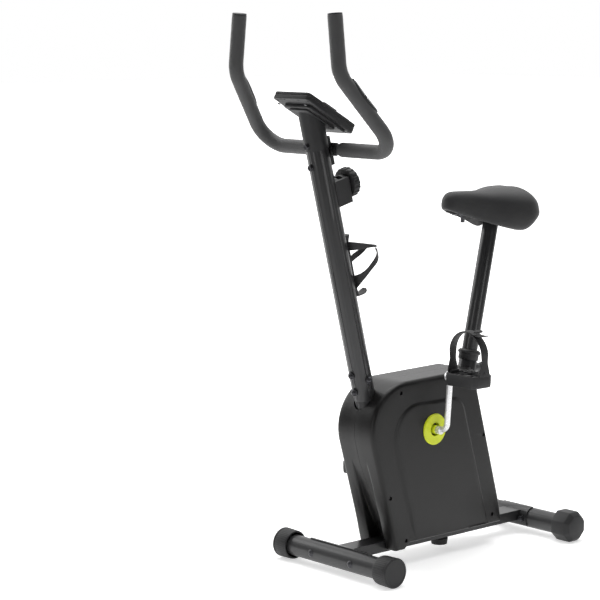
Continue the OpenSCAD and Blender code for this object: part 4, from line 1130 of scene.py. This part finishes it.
def make_cage():
    """A level hoop, two arms that sweep down to a flared spine, and a tongue under the bottle."""
    place = on_post(759)
    wall = POST_D / 2
    yc = wall + 42

    inner, outer, soft = 38.1, 40.9, 0.7

    def section(a, low, high):
        s, c = math.sin(math.radians(a)), math.cos(math.radians(a))
        corners = [(inner, low + soft), (inner + soft, low), (outer - soft, low),
                   (outer, low + soft), (outer, high - soft), (outer - soft, high),
                   (inner + soft, high), (inner, high - soft)]
        return [(r * s, yc + r * c, z) for r, z in corners]

    def hoop_share(a):
        return (1 - math.cos(math.radians(a))) / 2
    hoop = [section(a, -38 + 19 * (1 - (1 - hoop_share(a)) ** 2.5), -31 + 33 * hoop_share(a))
            for a in range(-168, 169, 4)]
    parts = [skin(hoop)]
    for side in (1, -1):
        arm = [section(side * a, along(CAGE_LOW, a), along(CAGE_HIGH, a)) for a in range(22, 167, 4)]
        parts.append(skin(arm))
    body = add_piece("bottle_cage_hoop", *join_parts(parts), "cap_plastic", None, place=place)
    spine = []
    for z, half, out in ((-131, 7.0, 8.5), (-130, 8.0, 9.5), (-100, 8.0, 8.0), (-20, 8.0, 8.0),
                         (2, 8.5, 9.0), (16.2, 10.5, 13.2), (17, 9.8, 12.4)):
        spine.append([(-half, wall - 3, z), (half, wall - 3, z), (half, wall + out - 1.2, z),
                      (half - 1.2, wall + out, z), (1.2 - half, wall + out, z), (-half, wall + out - 1.2, z)])
    back = add_piece("bottle_cage_spine", *skin(spine), "cap_plastic", None, place=place)
    cut_with(back, [moved(rod(wall + 0.05, -200, 80, 96), place)])
    tongue = []
    for out, z, half in ((6, -131, 9), (14, -131.2, 10.5), (22, -131.0, 11.5), (29, -129.6, 11.3),
                         (34, -127.0, 9.5), (37, -124.2, 6.0)):
        y = wall + out
        tongue.append([(-half, y, z), (half, y, z), (half, y - 0.8, z + 2.6),
                       (-half, y - 0.8, z + 2.6)])
    shelf = add_piece("bottle_cage_tongue", *skin(tongue), "cap_plastic", None, place=place)
    for obj in (body, back, shelf):
        shade(obj, 40)
        settle(obj, "frame", ("bottle_cage",))


# ---------- CAD nodes that stay ----------
FINISH = {
    "frame_paint": ["main_frame", "front_stabilizer", "rear_stabilizer", "seat_post", "handle_post",
                    "handlebar", "bar_clamp", "saddle_clamp"],
    "black_steel": ["console_screws", "saddle_rails", "lock_bushing", "stabilizer_bolts",
                    "cover_screws", "post_bolts", "bar_bolts", "cage_screws", "clamp_plates",
                    "magnet_bracket", "console_bracket"],
    "rubber_black": ["centre_bumper"],
    "cap_plastic": ["roller_plugs", "knob_housing", "lock_pin", "seat_bushing", "grip_plugs",
                    "saddle_base"],
    "lime": ["hub_rings", "crank_caps"],
    "crank_silver": ["crank_left", "crank_right"],
    "steel": ["crank_axle", "axle_bearings", "flywheel_bearings"],
    "pulley_plastic": ["drive_pulley"],
    "belt_rubber": ["belt"],
    "flywheel_iron": ["flywheel"],
    "magnet": ["magnets"],
    "lens": ["console_lens"],
}
EDGE = {"main_frame": 0.8, "seat_bushing": 1.2, "knob_housing": 1.8, "bar_clamp": 1.2, "hub_rings": 0.9,
        "crank_caps": 0.9, "lock_pin": 1.2, "saddle_base": 1.0, "centre_bumper": 1.0,
        "grip_plugs": 0.8, "post_bolts": 0.5, "bar_bolts": 0.5, "stabilizer_bolts": 0.5, "handle_post": 0.6,
        "crank_left": 0.7, "crank_right": 0.7, "clamp_plates": 0.7, "seat_post": 0.5}


def finish_cad_nodes():
    """Each CAD node that is still shown gets its material, and softened edges where they are seen."""
    for material, names in FINISH.items():
        for name in names:
            obj = NODES[name]
            obj.data.materials.clear()
            obj.data.materials.append(M[material])
            if name in EDGE:
                weld = obj.modifiers.new("weld", "WELD")
                weld.merge_threshold = 0.01 * MM
                soft = obj.modifiers.new("soft_edges", "BEVEL")
                soft.width = EDGE[name] * MM
                soft.segments = 2
                soft.limit_method = "ANGLE"
                soft.angle_limit = math.radians(38)
                soft.harden_normals = True
                soft.use_clamp_overlap = True


make_camera()
make_world()
make_stage()
make_covers()
make_feet()
make_saddle()
make_grips()
make_sensors()
make_pedals()
make_console()
make_knob()
make_cage()
finish_cad_nodes()
